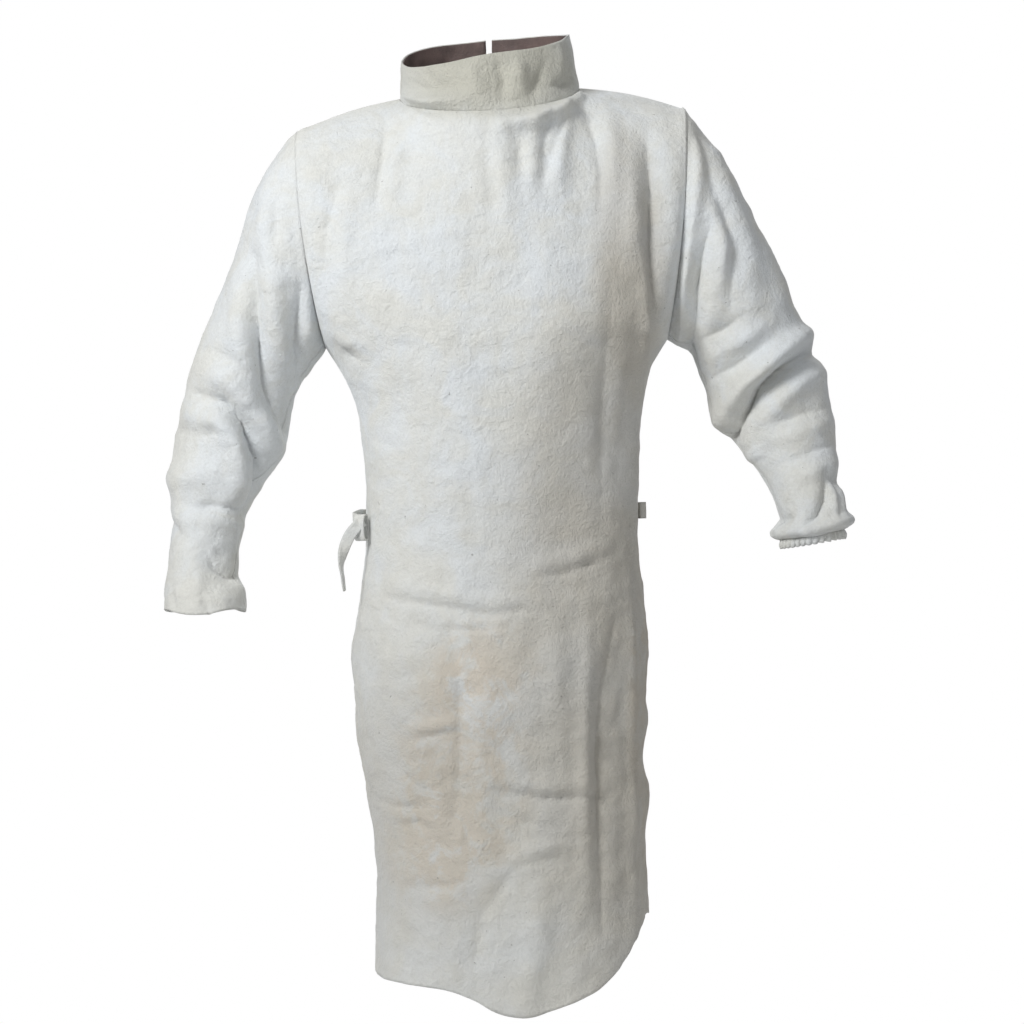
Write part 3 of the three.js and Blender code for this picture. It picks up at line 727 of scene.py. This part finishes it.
class Shade:
    """A material and the one way of adding nodes to it."""

    def __init__(self, name):
        self.material = bpy.data.materials.new(name)
        self.material.use_nodes = True
        self.tree = self.material.node_tree
        self.shader = self.tree.nodes["Principled BSDF"]

    def link(self, value, socket):
        if isinstance(value, Value):
            self.tree.links.new(value.socket, socket)
        else:
            socket.default_value = value

    def node(self, kind, settings=None, inputs=None):
        made = self.tree.nodes.new(kind)
        for key, value in (settings or {}).items():
            setattr(made, key, value)
        for key, value in (inputs or {}).items():
            self.link(value, made.inputs[key])
        return [Value(self, socket) for socket in made.outputs if socket.enabled]

    def place(self):
        return self.node("ShaderNodeTexCoord")[3]

    def attribute(self, name):
        return self.node("ShaderNodeAttribute", {"attribute_name": name})[2]

    def stretch(self, place, scale, turn=(0, 0, 0)):
        return self.node("ShaderNodeMapping", {}, {"Vector": place, "Scale": scale, "Rotation": turn})[0]

    def noise(self, place, scale, detail=3, roughness=0.5, distortion=0.0):
        inputs = {"Vector": place, "Scale": scale, "Detail": detail, "Roughness": roughness}
        return self.node("ShaderNodeTexNoise", {}, {**inputs, "Distortion": distortion})[0]

    def blend(self, share, a, b):
        """Mixes two colours."""
        made = self.tree.nodes.new("ShaderNodeMix")
        made.data_type = "RGBA"
        for key, value in (("Factor_Float", share), ("A_Color", a), ("B_Color", b)):
            self.link(value, next(s for s in made.inputs if s.identifier == key))
        return Value(self, next(s for s in made.outputs if s.identifier == "Result_Color"))

    def bump(self, height, distance):
        return self.node("ShaderNodeBump", {}, {"Height": height, "Distance": distance, "Strength": 1.0})[0]

    def set(self, **sockets):
        for key, value in sockets.items():
            self.link(value, self.shader.inputs[key.replace("_", " ")])


def patches(shade, place, spots):
    """Soft round patches, each (centre, size, weight): its weight in the middle and 0 outside.

    Centres and sizes are in metres along X and Z.
    """
    x, _, z = shade.node("ShaderNodeSeparateXYZ", {}, {"Vector": place})
    total = 0.0
    for centre, size, weight in spots:
        gone = ((x - centre[0]) * (1 / size[0])) ** 2 + ((z - centre[1]) * (1 / size[1])) ** 2
        total = (1 - gone.step(0.1, 1.0)) * weight + total
    return total


# The split leather's noises: scale to the metre, detail, roughness and distortion.
GRAIN = {
    "cloud": (5, 4, 0.55, 0.6), "blotch": (17, 4, 0.6, 0.8), "mottle": (30, 5, 0.65, 1.0),
    "fleck": (60, 3, 0.6), "pile": (85, 4, 0.55, 0.5), "speck": (190, 1, 0.3),
    "tuft": (330, 4, 0.62, 0.1), "fibre": (800, 4, 0.65, 0.6),
}
NAP_STRETCH, NAP_LEAN = (1, 1, 0.8), (0, 0.35, 0)
TAN_MARKS = [
    ((-0.05, -0.8), (0.1, 0.17), 1), ((-0.08, -0.89), (0.09, 0.1), 0.8),
    ((-0.02, -0.68), (0.08, 0.07), 0.6), ((0.168, -0.78), (0.03, 0.24), 1.3),
]
RUBBED = [((0, 0.03), (0.15, 0.085), 1)]
# Darker patches: the first, round the waist on the wearer's left, is painted shade where that side turns
# from the key light, with some dust; the second lies low on the wearer's right; the third is painted shade
# on the chest at the wearer's left.
SOIL_AND_SHADE = [
    ((0.14, -0.66), (0.18, 0.52), 1), ((-0.1, -0.85), (0.12, 0.2), 0.5), ((0.16, -0.2), (0.055, 0.19), 0.8),
]


def split_leather():
    """Chrome-tanned split: a raised nap, clouded from cool white to cream, with handling marks."""
    leather = bpy.context.scene.apron_leather
    shade = Shade("napped_split")
    place = shade.place()
    cloud = shade.noise(place, *GRAIN["cloud"])
    blotch = shade.noise(place, *GRAIN["blotch"])
    fleck = shade.noise(place, *GRAIN["fleck"])
    clouded = (cloud * 0.6 + blotch * 0.5).step(0.42, 0.66)
    base = shade.blend(clouded, leather.cool_colour[:], leather.cream_colour[:])
    mottle = shade.noise(place, *GRAIN["mottle"])
    marks = patches(shade, place, TAN_MARKS) * (mottle * 0.5 + blotch * 0.5).step(0.42, 0.56)
    base = shade.blend(marks.limit() * 0.75, base, leather.tan_colour[:])
    rubbed = patches(shade, place, RUBBED)
    base = shade.blend(rubbed * 0.95, base, leather.rubbed_colour[:])
    height = shade.node("ShaderNodeSeparateXYZ", {}, {"Vector": place})[2]
    # Greyer towards the hem: partly dust, partly painted shade for the light falling off down the skirt.
    darkening = (1 - height.step(-0.85, -0.3)) * (cloud * 0.4 + 0.27)
    base = shade.blend(darkening, base, leather.skirt_dust_and_shade_colour[:])
    # Painted shade on the wearer's left side, partly dust.
    soil_and_shade = patches(shade, place, SOIL_AND_SHADE)
    base = shade.blend((soil_and_shade * (cloud + 0.35)).limit() * 0.8, base, leather.soil_and_shade_colour[:])
    base = shade.blend((fleck * blotch).step(0.2, 0.42) * 0.12, base, leather.grey_colour[:])
    nap = shade.stretch(place, NAP_STRETCH, NAP_LEAN)
    fibre = shade.noise(nap, *GRAIN["fibre"])
    tuft = shade.noise(nap, *GRAIN["tuft"])
    pile = shade.noise(place, *GRAIN["pile"])
    speck = shade.noise(place, *GRAIN["speck"]).step(0.79, 0.82)
    # Painted shade in the hollows between the tufts of nap.
    shadowed = (fibre * 0.4 + tuft * 0.6).step(0.34, 0.6)
    base = shade.blend((1 - shadowed) * 0.2, base, leather.grey_colour[:])
    base = shade.blend(speck * 0.5, base, leather.speck_and_seam_shade_colour[:])
    seam = shade.attribute("seam")
    # Painted shade along the bottom of each sewn seam.
    groove = 1 - seam.step(0.0, 2.2)
    base = shade.blend(groove * 0.06, base, leather.speck_and_seam_shade_colour[:])
    raised = (rubbed + soil_and_shade * 0.6).limit() + 0.6
    normal = shade.bump((fibre * 0.4 + tuft) * raised + pile * 1.3, leather.nap_depth)
    shade.set(Base_Color=base, Roughness=fibre * 0.12 + 0.86, Normal=normal)
    shade.set(Sheen_Weight=0.25, Sheen_Roughness=0.6, Specular_IOR_Level=0.15)
    return shade.material


def grain_leather():
    """The collar's smooth lining: brown-grey, fine-grained, with darker clouds."""
    leather = bpy.context.scene.apron_leather
    shade = Shade("lining_grain")
    place = shade.place()
    inputs = {"Vector": place, "Scale": 420}
    pebble = shade.node("ShaderNodeTexVoronoi", {"feature": "DISTANCE_TO_EDGE"}, inputs)[0]
    cloud = shade.noise(place, 26, 4, 0.6, 0.4)
    base = shade.blend(cloud.step(0.35, 0.7), leather.lining_colour[:], leather.lining_shade[:])
    normal = shade.bump(pebble.step(0, 0.2) + cloud * 0.5, 0.0004)
    shade.set(Base_Color=base, Roughness=cloud * 0.15 + 0.52, Normal=normal)
    return shade.material


def elastic_web():
    """Woven elastic: fine ribs along the band."""
    leather = bpy.context.scene.apron_leather
    shade = Shade("elastic_web")
    place = shade.node("ShaderNodeUVMap", {"uv_map": "UVMap"})[0]
    u, v, _ = shade.node("ShaderNodeSeparateXYZ", {}, {"Vector": place})
    rib = ((v * 700).part() - 0.5).size() * 2
    weft = ((u * 900).part() - 0.5).size() * 2
    base = shade.blend(rib * 0.3 + weft * 0.15, leather.elastic_colour[:], leather.grey_colour[:])
    shade.set(Base_Color=base, Roughness=0.85, Normal=shade.bump(rib + weft * 0.5, 0.0004))
    return shade.material


def nickel():
    """The press studs: plated steel, finely brushed, a little rubbed."""
    leather = bpy.context.scene.apron_leather
    shade = Shade("nickel")
    place = shade.place()
    brushed = shade.noise(shade.stretch(place, (1, 1, 6)), 900, 3, 0.6)
    darkening = shade.noise(place, 300, 3, 0.6)
    base = shade.blend(darkening.step(0.4, 0.75) * 0.5, leather.steel_colour[:], leather.steel_shade[:])
    shade.set(Base_Color=base, Roughness=brushed * 0.2 + 0.18, Normal=shade.bump(brushed, 0.00005))
    shade.set(Metallic=1.0)
    return shade.material


FINISHES = {
    "split_leather": ("napped_split", split_leather),
    "grain_leather": ("lining_grain", grain_leather),
    "elastic": ("elastic_web", elastic_web),
    "steel": ("nickel", nickel),
}


def finish(slot):
    """The material for a slot, made the first time it is asked for."""
    name, make = FINISHES[slot]
    return bpy.data.materials.get(name) or make()


# ---- properties ------------------------------------------------------------------------------------


def colour(name, description, default):
    return FloatVectorProperty(
        name=name, description=description, default=(*default, 1.0), size=4, min=0, max=1, subtype="COLOR",
    )


class ApronLeather(bpy.types.PropertyGroup):
    """The leather, its folds and its colours."""

    thickness: FloatProperty(
        name="Thickness", description="Thickness of the split leather", default=0.0018,
        min=0.0008, max=0.004, subtype="DISTANCE", unit="LENGTH",
    )
    nap_depth: FloatProperty(
        name="Nap depth", description="How high the nap stands", default=0.0018, min=0.0, max=0.004,
        subtype="DISTANCE", unit="LENGTH",
    )
    fold_scale: FloatProperty(
        name="Fold depth", description="Depth of every fold, as a share of the drawn one", default=1.2,
        min=0, max=2, subtype="FACTOR",
    )
    step: IntProperty(
        name="Mesh step", description="Size of a mesh cell on the leather, in millimetres", default=4,
        min=2, max=12,
    )
    cool_colour: colour("Cool white", "The cleanest leather", (0.715, 0.748, 0.77))
    cream_colour: colour("Cream", "The leather's warmer clouds", (0.72, 0.725, 0.69))
    tan_colour: colour("Tan", "Handling marks low on the front", (0.66, 0.56, 0.44))
    rubbed_colour: colour("Rubbed collar", "The collar, rubbed by the neck", (0.575, 0.565, 0.485))
    # Partly dust, partly painted shade that darkens the skirt towards the hem.
    skirt_dust_and_shade_colour: colour("Worn skirt", "The skirt, greyed by use", (0.50, 0.485, 0.435))
    # Partly soil, mostly painted shade on the wearer's left side of the chest and waist.
    soil_and_shade_colour: colour("Soil", "Rubbed-in dust down the left of the skirt", (0.46, 0.425, 0.36))
    # Painted shade between the tufts of nap; also the grey flecks and the elastic's weave.
    grey_colour: colour("Nap shade", "The leather between tufts of nap", (0.42, 0.43, 0.41))
    # Dark specks, and painted shade at the bottom of the seams.
    speck_and_seam_shade_colour: colour("Speck", "Dark specks and the bottom of a seam", (0.16, 0.15, 0.14))
    lining_colour: colour("Lining", "The collar's lining", (0.17, 0.12, 0.11))
    lining_shade: colour("Lining shade", "The lining's darker clouds", (0.10, 0.075, 0.07))
    elastic_colour: colour("Elastic", "The elastic in the cuffs", (0.70, 0.69, 0.65))
    steel_colour: colour("Stud", "The press studs", (0.62, 0.62, 0.62))
    steel_shade: colour("Worn stud", "Rubbed parts of the press studs", (0.42, 0.41, 0.40))


class ApronStage(bpy.types.PropertyGroup):
    """The floor, the lights and the camera."""

    distance: FloatProperty(
        name="Camera distance", description="From the camera to the middle of the body", default=2.7,
        min=1, max=10, subtype="DISTANCE", unit="LENGTH",
    )
    height: FloatProperty(
        name="Camera height", description="The camera's height above the neck", default=-0.503,
        min=-2, max=1, subtype="DISTANCE", unit="LENGTH",
    )
    aside: FloatProperty(
        name="Camera aside", description="The camera's place along X", default=0.0137, min=-1, max=1,
        subtype="DISTANCE", unit="LENGTH",
    )
    roll: FloatProperty(
        name="Roll", description="How far the camera leans", default=math.radians(-1.5), min=-0.2, max=0.2,
        subtype="ANGLE", unit="ROTATION",
    )
    view_width: FloatProperty(
        name="View width", description="The width seen at the middle of the body", default=1.249,
        min=0.1, max=5, subtype="DISTANCE", unit="LENGTH",
    )
    ambient: FloatProperty(
        name="Ambient light", description="Strength of the light from all round", default=0.27,
        min=0, max=2, subtype="FACTOR",
    )
    key_power: FloatProperty(
        name="Key light", description="Power of the large light at the wearer's right", default=61,
        min=0, unit="POWER",
    )
    fill_power: FloatProperty(
        name="Fill light", description="Power of the weak light at the wearer's left", default=13,
        min=0, unit="POWER",
    )
    floor_height: FloatProperty(
        name="Floor height", description="The floor's height below the neck", default=-1.5,
        min=-3, max=-1.2, subtype="DISTANCE", unit="LENGTH",
    )
    floor_radius: FloatProperty(
        name="Floor radius", description="How far the floor reaches", default=1.4, min=0.5, max=10,
        subtype="DISTANCE", unit="LENGTH",
    )
    floor_colour: colour("Floor", "The pale floor and backdrop", (0.86, 0.86, 0.86))


# ---- pieces ----------------------------------------------------------------------------------------


def cells(kind):
    """How many cells a panel's mesh has across and along."""
    step = bpy.context.scene.apron_leather.step
    return [max(FEWEST_CELLS, round(length / step)) for length in SPANS[kind]]


def declare(piece, body, node):
    """Hides the CAD node that a piece stands for, and hangs the piece on what it rides on."""
    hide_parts(node)
    if body:
        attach(piece, body)


class APRON_OT_front(bpy.types.Operator):
    """Cut and drape the full-length front panel"""

    bl_idname = "apron.front"
    bl_label = "Front panel"

    def execute(self, context):
        sheet = Sheet(front_surface, *cells("front"))
        armpit_band = np.exp(-(((sheet.points[..., 2] - ARMPIT[1]) / 45) ** 2))
        sheet.relax(np.maximum(EVENED, armpit_band), ROUNDS)
        press_folds(sheet, FRONT_FOLDS, [], "lrt")
        sheet.sew("lrt", dip=0.6)
        piece = sheet_object("front_leather", sheet, seams="lrt")
        declare(piece, "garment", "front_panel")
        return {"FINISHED"}


class APRON_OT_sides(bpy.types.Operator):
    """Cut the side panels, which wrap round to the open back"""

    bl_idname = "apron.sides"
    bl_label = "Side panels"

    def execute(self, context):
        for name, side in (("right", -1), ("left", 1)):
            sheet = Sheet(side_surface(side), *cells("side"), outward=side)
            press_folds(sheet, FRONT_FOLDS, BACK_FOLDS, "lt")
            sheet.sew("lt")
            sheet.tuck("l")
            sheet.tuck("t")
            piece = sheet_object(f"{name}_side_leather", sheet, seams="lt")
            declare(piece, "garment", f"{name}_side_panel")
        return {"FINISHED"}


class APRON_OT_yokes(bpy.types.Operator):
    """Cut the two halves of the back yoke"""

    bl_idname = "apron.yokes"
    bl_label = "Back yoke"

    def execute(self, context):
        for name, side in (("right", -1), ("left", 1)):
            sheet = Sheet(yoke_surface(side), *cells("yoke"), outward=side)
            sheet.relax(np.full(sheet.u.shape, EVENED), ROUNDS)
            press_folds(sheet, [], BACK_FOLDS, "ltr")
            sheet.sew("lt")
            piece = sheet_object(f"{name}_yoke_leather", sheet, seams="lt")
            declare(piece, "garment", f"{name}_back_yoke")
        return {"FINISHED"}


class APRON_OT_collar(bpy.types.Operator):
    """Make the stand collar and its lining"""

    bl_idname = "apron.collar"
    bl_label = "Collar"

    def execute(self, context):
        open_half = 180 - COLLAR_OPEN

        def rim_to_seam(u, v):
            return collar_point(mix(-open_half, open_half, u), 1 - v)

        def unrolled(alpha, share):
            return alpha * COLLAR_MM_PER_DEGREE, share * COLLAR_HEIGHT

        outer = Sheet(rim_to_seam, *cells("collar"))
        flat = np.stack(unrolled(mix(-open_half, open_half, outer.u), 1 - outer.v), axis=-1)
        folds = [(size, width, [unrolled(*knot) for knot in line]) for size, width, line in COLLAR_FOLDS]
        height = fold_heights(flat, folds) + waver(outer.points, *RIPPLES["collar"])
        _, _, top, bottom = outer.lengths()
        ease = smoothstep(0, 6, bottom) * mix(0.4, 1, smoothstep(0, 14, top))
        outer.push(height * ease)
        lining = Sheet(rim_to_seam, *cells("collar"))
        behind = context.scene.apron_leather.thickness / MM + LINING_GAP
        lining.points = outer.points - outer.normals() * behind
        lining.points[0] += (lining.points[1] - lining.points[0]) * 0.35
        outer.sew("b", dip=0.3)
        outer.tuck("b", under=0.4)
        piece = sheet_object("collar_leather", outer, seams="b")
        declare(piece, "garment", "collar")
        inner = sheet_object(
            "collar_lining_leather", lining, thickness=LINING_THICK, material="grain_leather",
        )
        declare(inner, "garment", "collar_lining")
        return {"FINISHED"}


class APRON_OT_sleeves(bpy.types.Operator):
    """Drape the two-piece sleeves and gather them into their cuffs"""

    bl_idname = "apron.sleeves"
    bl_label = "Sleeves"

    def execute(self, context):
        for name, spec in SLEEVES.items():
            upper = ("upper", UNDER_SEAM[1] - 360, UNDER_SEAM[0])
            for part, first, last in (upper, ("under", *UNDER_SEAM)):
                def surface(u, v, first=first, last=last, spec=spec):
                    return sleeve_point(spec, mix(first, last, u), v)

                sheet = Sheet(surface, *cells(f"sleeve_{part}"), outward=-spec["side"])
                front, back = SLEEVE_FOLDS[name], SLEEVE_BACK_FOLDS[name]
                press_folds(sheet, front, back, "t")
                sheet.sew("lrt", dip=0.4)
                sheet.tuck("t", under=0.5)
                piece = sheet_object(f"{name}_sleeve_{part}_leather", sheet, seams="lrt")
                declare(piece, None, f"{name}_sleeve_{part}")
                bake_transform(piece)
        return {"FINISHED"}


class APRON_OT_cuffs(bpy.types.Operator):
    """Put the elastic and the turned hem inside each sleeve's end"""

    bl_idname = "apron.cuffs"
    bl_label = "Cuffs"

    def execute(self, context):
        for name, spec in SLEEVES.items():
            for part, under, thick, slot in CUFF_BANDS:
                frill = bool(spec["gather"]) and part == "hem"
                cut, held = ("frill", "gathered") if frill else ("cuff_band", "stretched")

                def surface(u, v, under=under, spec=spec, frill=frill):
                    inside = mix(*CUFF_SPAN, np.clip(2 * v, 0, 1) if frill else v)
                    fall = np.clip(2 * v - 1, 0, 1) if frill else 0 * v
                    pleat = np.sin(2 * math.pi * PLEATS * u + 1.5 * np.sin(6 * math.pi * u))
                    hang = FRILL * fall * (1 + 0.08 * pleat)
                    ease = under - FRILL_FLARE * np.sin(2.5 * fall) - PLEAT_DEPTH * pleat * fall
                    outer, inner = np.array(spec["outer"][-2:]), np.array(spec["inner"][-2:])
                    axis = outer[1] + inner[1] - outer[0] - inner[0]
                    axis = axis / np.linalg.norm(axis)
                    point = sleeve_point(spec, 360 * u, inside, ease)
                    return point + points(spec["side"] * axis[0], -0.15, axis[1]) * hang[..., None]

                sheet = Sheet(surface, *CELLS[cut], outward=-spec["side"])
                press_folds(sheet, SLEEVE_FOLDS[name], SLEEVE_BACK_FOLDS[name], "")
                piece = sheet_object(f"{name}_cuff_{part}_band", sheet, "", True, thick, slot)
                sleeve, around = f"{name}_sleeve", f"{name}_sleeve_upper_leather"
                declare(piece, sleeve, f"{name}_cuff_{part}")
        return {"FINISHED"}


def back_point(x, level, lift):
    """A point on the yoke near the centre back, lift millimetres off it."""
    neck_z = float(neck_ring(np.array(math.pi))[2])
    drop = np.arccos(np.clip(1 - 2 * (level - neck_z) / (ARMPIT[1] - neck_z), -1, 1)) / math.pi
    upper = chest(x / armhole(180 * drop)[..., 0], drop, -1)
    width = np.where(x < 0, chart(RIGHT_WIDTH, level), chart(LEFT_WIDTH, level))
    lower = section(180 - np.degrees(np.arcsin(power(x / width, 1 / SQUARENESS))), level)
    point = np.where((level > ARMPIT[1])[..., None], upper, lower)
    return point + points(0 * x, lift + 0 * x, 0 * x)


def collar_back_point(x, level, lift):
    """A point on the collar near the centre back, level its share of the collar's height."""
    alpha = 180 - np.degrees(np.arcsin(x / NECK["width"]))
    return collar_point(alpha, level, -lift)


# Each tab: its place, its height there and how much of that height one millimetre is.
TABS = (
    ("collar", collar_back_point, 0.42, 1 / 69),
    ("upper_back", back_point, -150, 1),
    ("lower_back", back_point, -370, 1),
)


class APRON_OT_tabs(bpy.types.Operator):
    """Cut the closing tabs and their sewn roots"""

    bl_idname = "apron.tabs"
    bl_label = "Back tabs"

    def execute(self, context):
        top = TAB["lift"] + TAB["thick"]
        for name, place, level, per_mm in TABS:

            def flap(u, v, place=place, level=level, per_mm=per_mm):
                narrow = np.sqrt(1 - 0.75 * np.clip((u - 0.72) / 0.28, 0, 1) ** 2)
                x = mix(TAB["hinge"] + HINGE_GAP[1], TAB["tip"], u)
                return place(x, level + (0.5 - v) * TAB["width"] * narrow * per_mm, top)

            def root(u, v, place=place, level=level, per_mm=per_mm):
                x = mix(TAB["root"], TAB["hinge"] - HINGE_GAP[0], u)
                return place(x, level + (0.5 - v) * TAB["width"] * per_mm, top - 0.2)

            for kind, surface, thick, body in (
                ("tab", flap, TAB["thick"], f"{name}_flap"),
                ("tab_root", root, TAB["thick"] + ROOT_PAD, "garment"),
            ):
                sheet = Sheet(surface, *CELLS[kind], outward=-1)
                piece = sheet_object(f"{name}_{kind}_leather", sheet, "lrtb", thickness=thick)
                declare(piece, body, f"{name}_{kind}")
            for part in ("cap", "post"):
                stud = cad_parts[f"{name}_stud_{part}"]
                stud.data.materials.clear()
                stud.data.materials.append(finish("steel"))
        return {"FINISHED"}


def curve_points(knots, count):
    """Points at even steps along a smooth curve through the knots, and the curve's direction at each."""
    knots = np.array(knots, float)
    run = np.concatenate([[0], np.cumsum(np.linalg.norm(np.diff(knots, axis=0), axis=1))])
    at = np.linspace(0, run[-1], count)
    line = np.stack([chart(list(zip(run, knots[:, k])), at) for k in range(3)], axis=-1)
    along = np.gradient(line, axis=0)
    return line, along / np.linalg.norm(along, axis=-1, keepdims=True)


def strap_sheet(knots, across, width, kind):
    """A strap along a curve: across gives the way its width lies, width a chart by share of its length."""
    steps, rows = CELLS[kind]
    line, along = curve_points(knots, steps + 1)
    wide = across(line, along)
    wide /= np.linalg.norm(wide, axis=-1, keepdims=True)

    def surface(u, v):
        i = np.round(u * steps).astype(int)
        return line[i] + wide[i] * ((0.5 - v) * chart(width, u))[..., None]

    return Sheet(surface, steps, rows)


class APRON_OT_waist_strap(bpy.types.Operator):
    """Lay the waist strap round the back, with its keeper and its hanging tail"""

    bl_idname = "apron.waist_strap"
    bl_label = "Waist strap"

    def execute(self, context):
        def round_body(phi, lift):
            p = section(np.array(float(phi)), np.array(float(WAIST)))
            out = p * np.array([1, 1, 0])
            return p + out / np.linalg.norm(out) * (lift + STRAP["thick"])

        def upright(line, along):
            return np.broadcast_to(np.array([0.0, 0.0, 1.0]), line.shape).copy()

        knots = [round_body(*knot) for knot in STRAP_LEFT]
        knots += [round_body(phi, STRAP["lift"]) for phi in range(120, 265, 12)]
        knots += [round_body(*STRAP_RIGHT), *STRAP_END]
        sheet = strap_sheet(knots, upright, [(0, STRAP["width"]), (1, STRAP["width"])], "strap")
        sheet.push(waver(sheet.points, *RIPPLES["strap"]))
        strap = sheet_object("waist_strap_leather", sheet, "tb", thickness=STRAP["thick"])
        declare(strap, "garment", "waist_strap")

        def ring(u, v):
            cosine, sine = np.cos(2 * math.pi * u), np.sin(2 * math.pi * u)
            centre, along, outward = (np.array(KEEPER[key]) for key in ("centre", "along", "outward"))
            point = centre + along * ((v - 0.5) * KEEPER["width"])[..., None]
            point = point + outward * (KEEPER["depth"] * power(cosine, 0.7))[..., None]
            return point + np.array([0.0, 0.0, 1.0]) * (KEEPER["height"] * power(sine, 0.7))[..., None]

        sheet = Sheet(ring, *CELLS["keeper"])
        keeper = sheet_object("strap_keeper_leather", sheet, "", True, STRAP["thick"])
        declare(keeper, "garment", "strap_keeper")

        def leaning(line, along_line):
            share = np.linspace(0, 1, len(line))
            turn = np.radians(TAIL_TWIST * smoothstep(0.35, 0.75, share))
            return np.cross(along_line, points(-np.sin(turn), np.cos(turn), 0 * turn))

        sheet = strap_sheet(TAIL, leaning, TAIL_WIDTH, "tail")
        sheet.push(waver(sheet.points, *RIPPLES["tail"]))
        tail = sheet_object("strap_tail_leather", sheet, "tb", thickness=STRAP["thick"])
        declare(tail, "strap_end", "strap_tail")
        return {"FINISHED"}


# ---- stage -----------------------------------------------------------------------------------------


# Each lamp: its place and size in metres, whose power it has and how many times that.
LAMPS = {
    "key": ((-1.55, -1.85, 1.0), 0.9, "key_power", 1), "fill": ((1.7, -2.4, 0.5), 1.6, "fill_power", 1),
    "back": ((0.4, 2.4, 1.2), 1.8, "fill_power", 3),
}
WALL_EDGE = (0.72, 0.9)  # how squarely a direction must face back to see the white wall
LAMP_AIM = (0, 0, -0.5)


class APRON_OT_stage(bpy.types.Operator):
    """Set the floor, the lights and the camera"""

    bl_idname = "apron.stage"
    bl_label = "Stage"

    def studio(self, stage):
        """Soft light from all round, and a white wall a long way behind the garment."""
        world = bpy.data.worlds.new("studio")
        world.use_nodes = True
        tree = world.node_tree
        place = tree.nodes.new("ShaderNodeTexCoord")
        split = tree.nodes.new("ShaderNodeSeparateXYZ")
        wall = tree.nodes.new("ShaderNodeMapRange")
        wall.interpolation_type = "SMOOTHSTEP"
        wall.inputs["From Min"].default_value, wall.inputs["From Max"].default_value = WALL_EDGE
        wall.inputs["To Min"].default_value, wall.inputs["To Max"].default_value = stage.ambient, 1.0
        tree.links.new(place.outputs["Object"], split.inputs["Vector"])
        tree.links.new(split.outputs["Y"], wall.inputs["Value"])
        tree.links.new(wall.outputs["Result"], tree.nodes["Background"].inputs["Strength"])
        tree.nodes["Background"].inputs["Color"].default_value = (1, 1, 1, 1)
        return world

    def execute(self, context):
        stage, scene = context.scene.apron_stage, context.scene
        camera = bpy.data.objects.new("camera", bpy.data.cameras.new("camera"))
        scene.collection.objects.link(camera)
        scene.camera = camera
        camera.location = (stage.aside, -stage.distance, stage.height)
        lean = Matrix.Rotation(math.pi / 2, 3, "X") @ Matrix.Rotation(stage.roll, 3, "Z")
        camera.rotation_euler = lean.to_euler()
        camera.data.lens = camera.data.sensor_width * stage.distance / stage.view_width
        camera.data.clip_end = 60

        shade = Shade("pale_floor")
        shade.set(Base_Color=stage.floor_colour[:], Roughness=0.9)
        bm = bmesh.new()
        bmesh.ops.create_circle(bm, cap_ends=True, segments=96, radius=stage.floor_radius)
        bmesh.ops.translate(bm, verts=bm.verts, vec=(0, 0, stage.floor_height))
        floor = new_object("floor", bm)
        floor.data.materials.append(shade.material)

        scene.world = self.studio(stage)
        scene.view_settings.view_transform = "Standard"
        for name, (place, size, power_of, times) in LAMPS.items():
            light = bpy.data.lights.new(name, "AREA")
            light.energy, light.size = getattr(stage, power_of) * times, size
            lamp = bpy.data.objects.new(name, light)
            lamp.location = place
            lamp.rotation_euler = (Vector(place) - Vector(LAMP_AIM)).to_track_quat("Z", "Y").to_euler()
            scene.collection.objects.link(lamp)
        return {"FINISHED"}


STEPS = (
    APRON_OT_stage, APRON_OT_collar, APRON_OT_front, APRON_OT_sides, APRON_OT_yokes, APRON_OT_sleeves,
    APRON_OT_cuffs, APRON_OT_tabs, APRON_OT_waist_strap,
)


class APRON_PT_panel(bpy.types.Panel):
    """Lists the apron's settings and building steps"""

    bl_idname = "APRON_PT_panel"
    bl_label = "Sleeved apron"
    bl_space_type = "VIEW_3D"
    bl_region_type = "UI"
    bl_category = "Apron"

    def draw(self, context):
        for group in (context.scene.apron_leather, context.scene.apron_stage):
            box = self.layout.box()
            for key in group.bl_rna.properties.keys():
                if key not in ("rna_type", "name"):
                    box.prop(group, key)
        for step in STEPS:
            self.layout.operator(step.bl_idname)


CLASSES = (ApronLeather, ApronStage, *STEPS, APRON_PT_panel)


def register():
    for cls in CLASSES:
        bpy.utils.register_class(cls)
    bpy.types.Scene.apron_leather = PointerProperty(type=ApronLeather)
    bpy.types.Scene.apron_stage = PointerProperty(type=ApronStage)


def unregister():
    del bpy.types.Scene.apron_stage
    del bpy.types.Scene.apron_leather
    for cls in reversed(CLASSES):
        bpy.utils.unregister_class(cls)


def main():
    register()
    for step in STEPS:
        group, name = step.bl_idname.split(".")
        getattr(getattr(bpy.ops, group), name)()


if __name__ == "__main__":
    main()
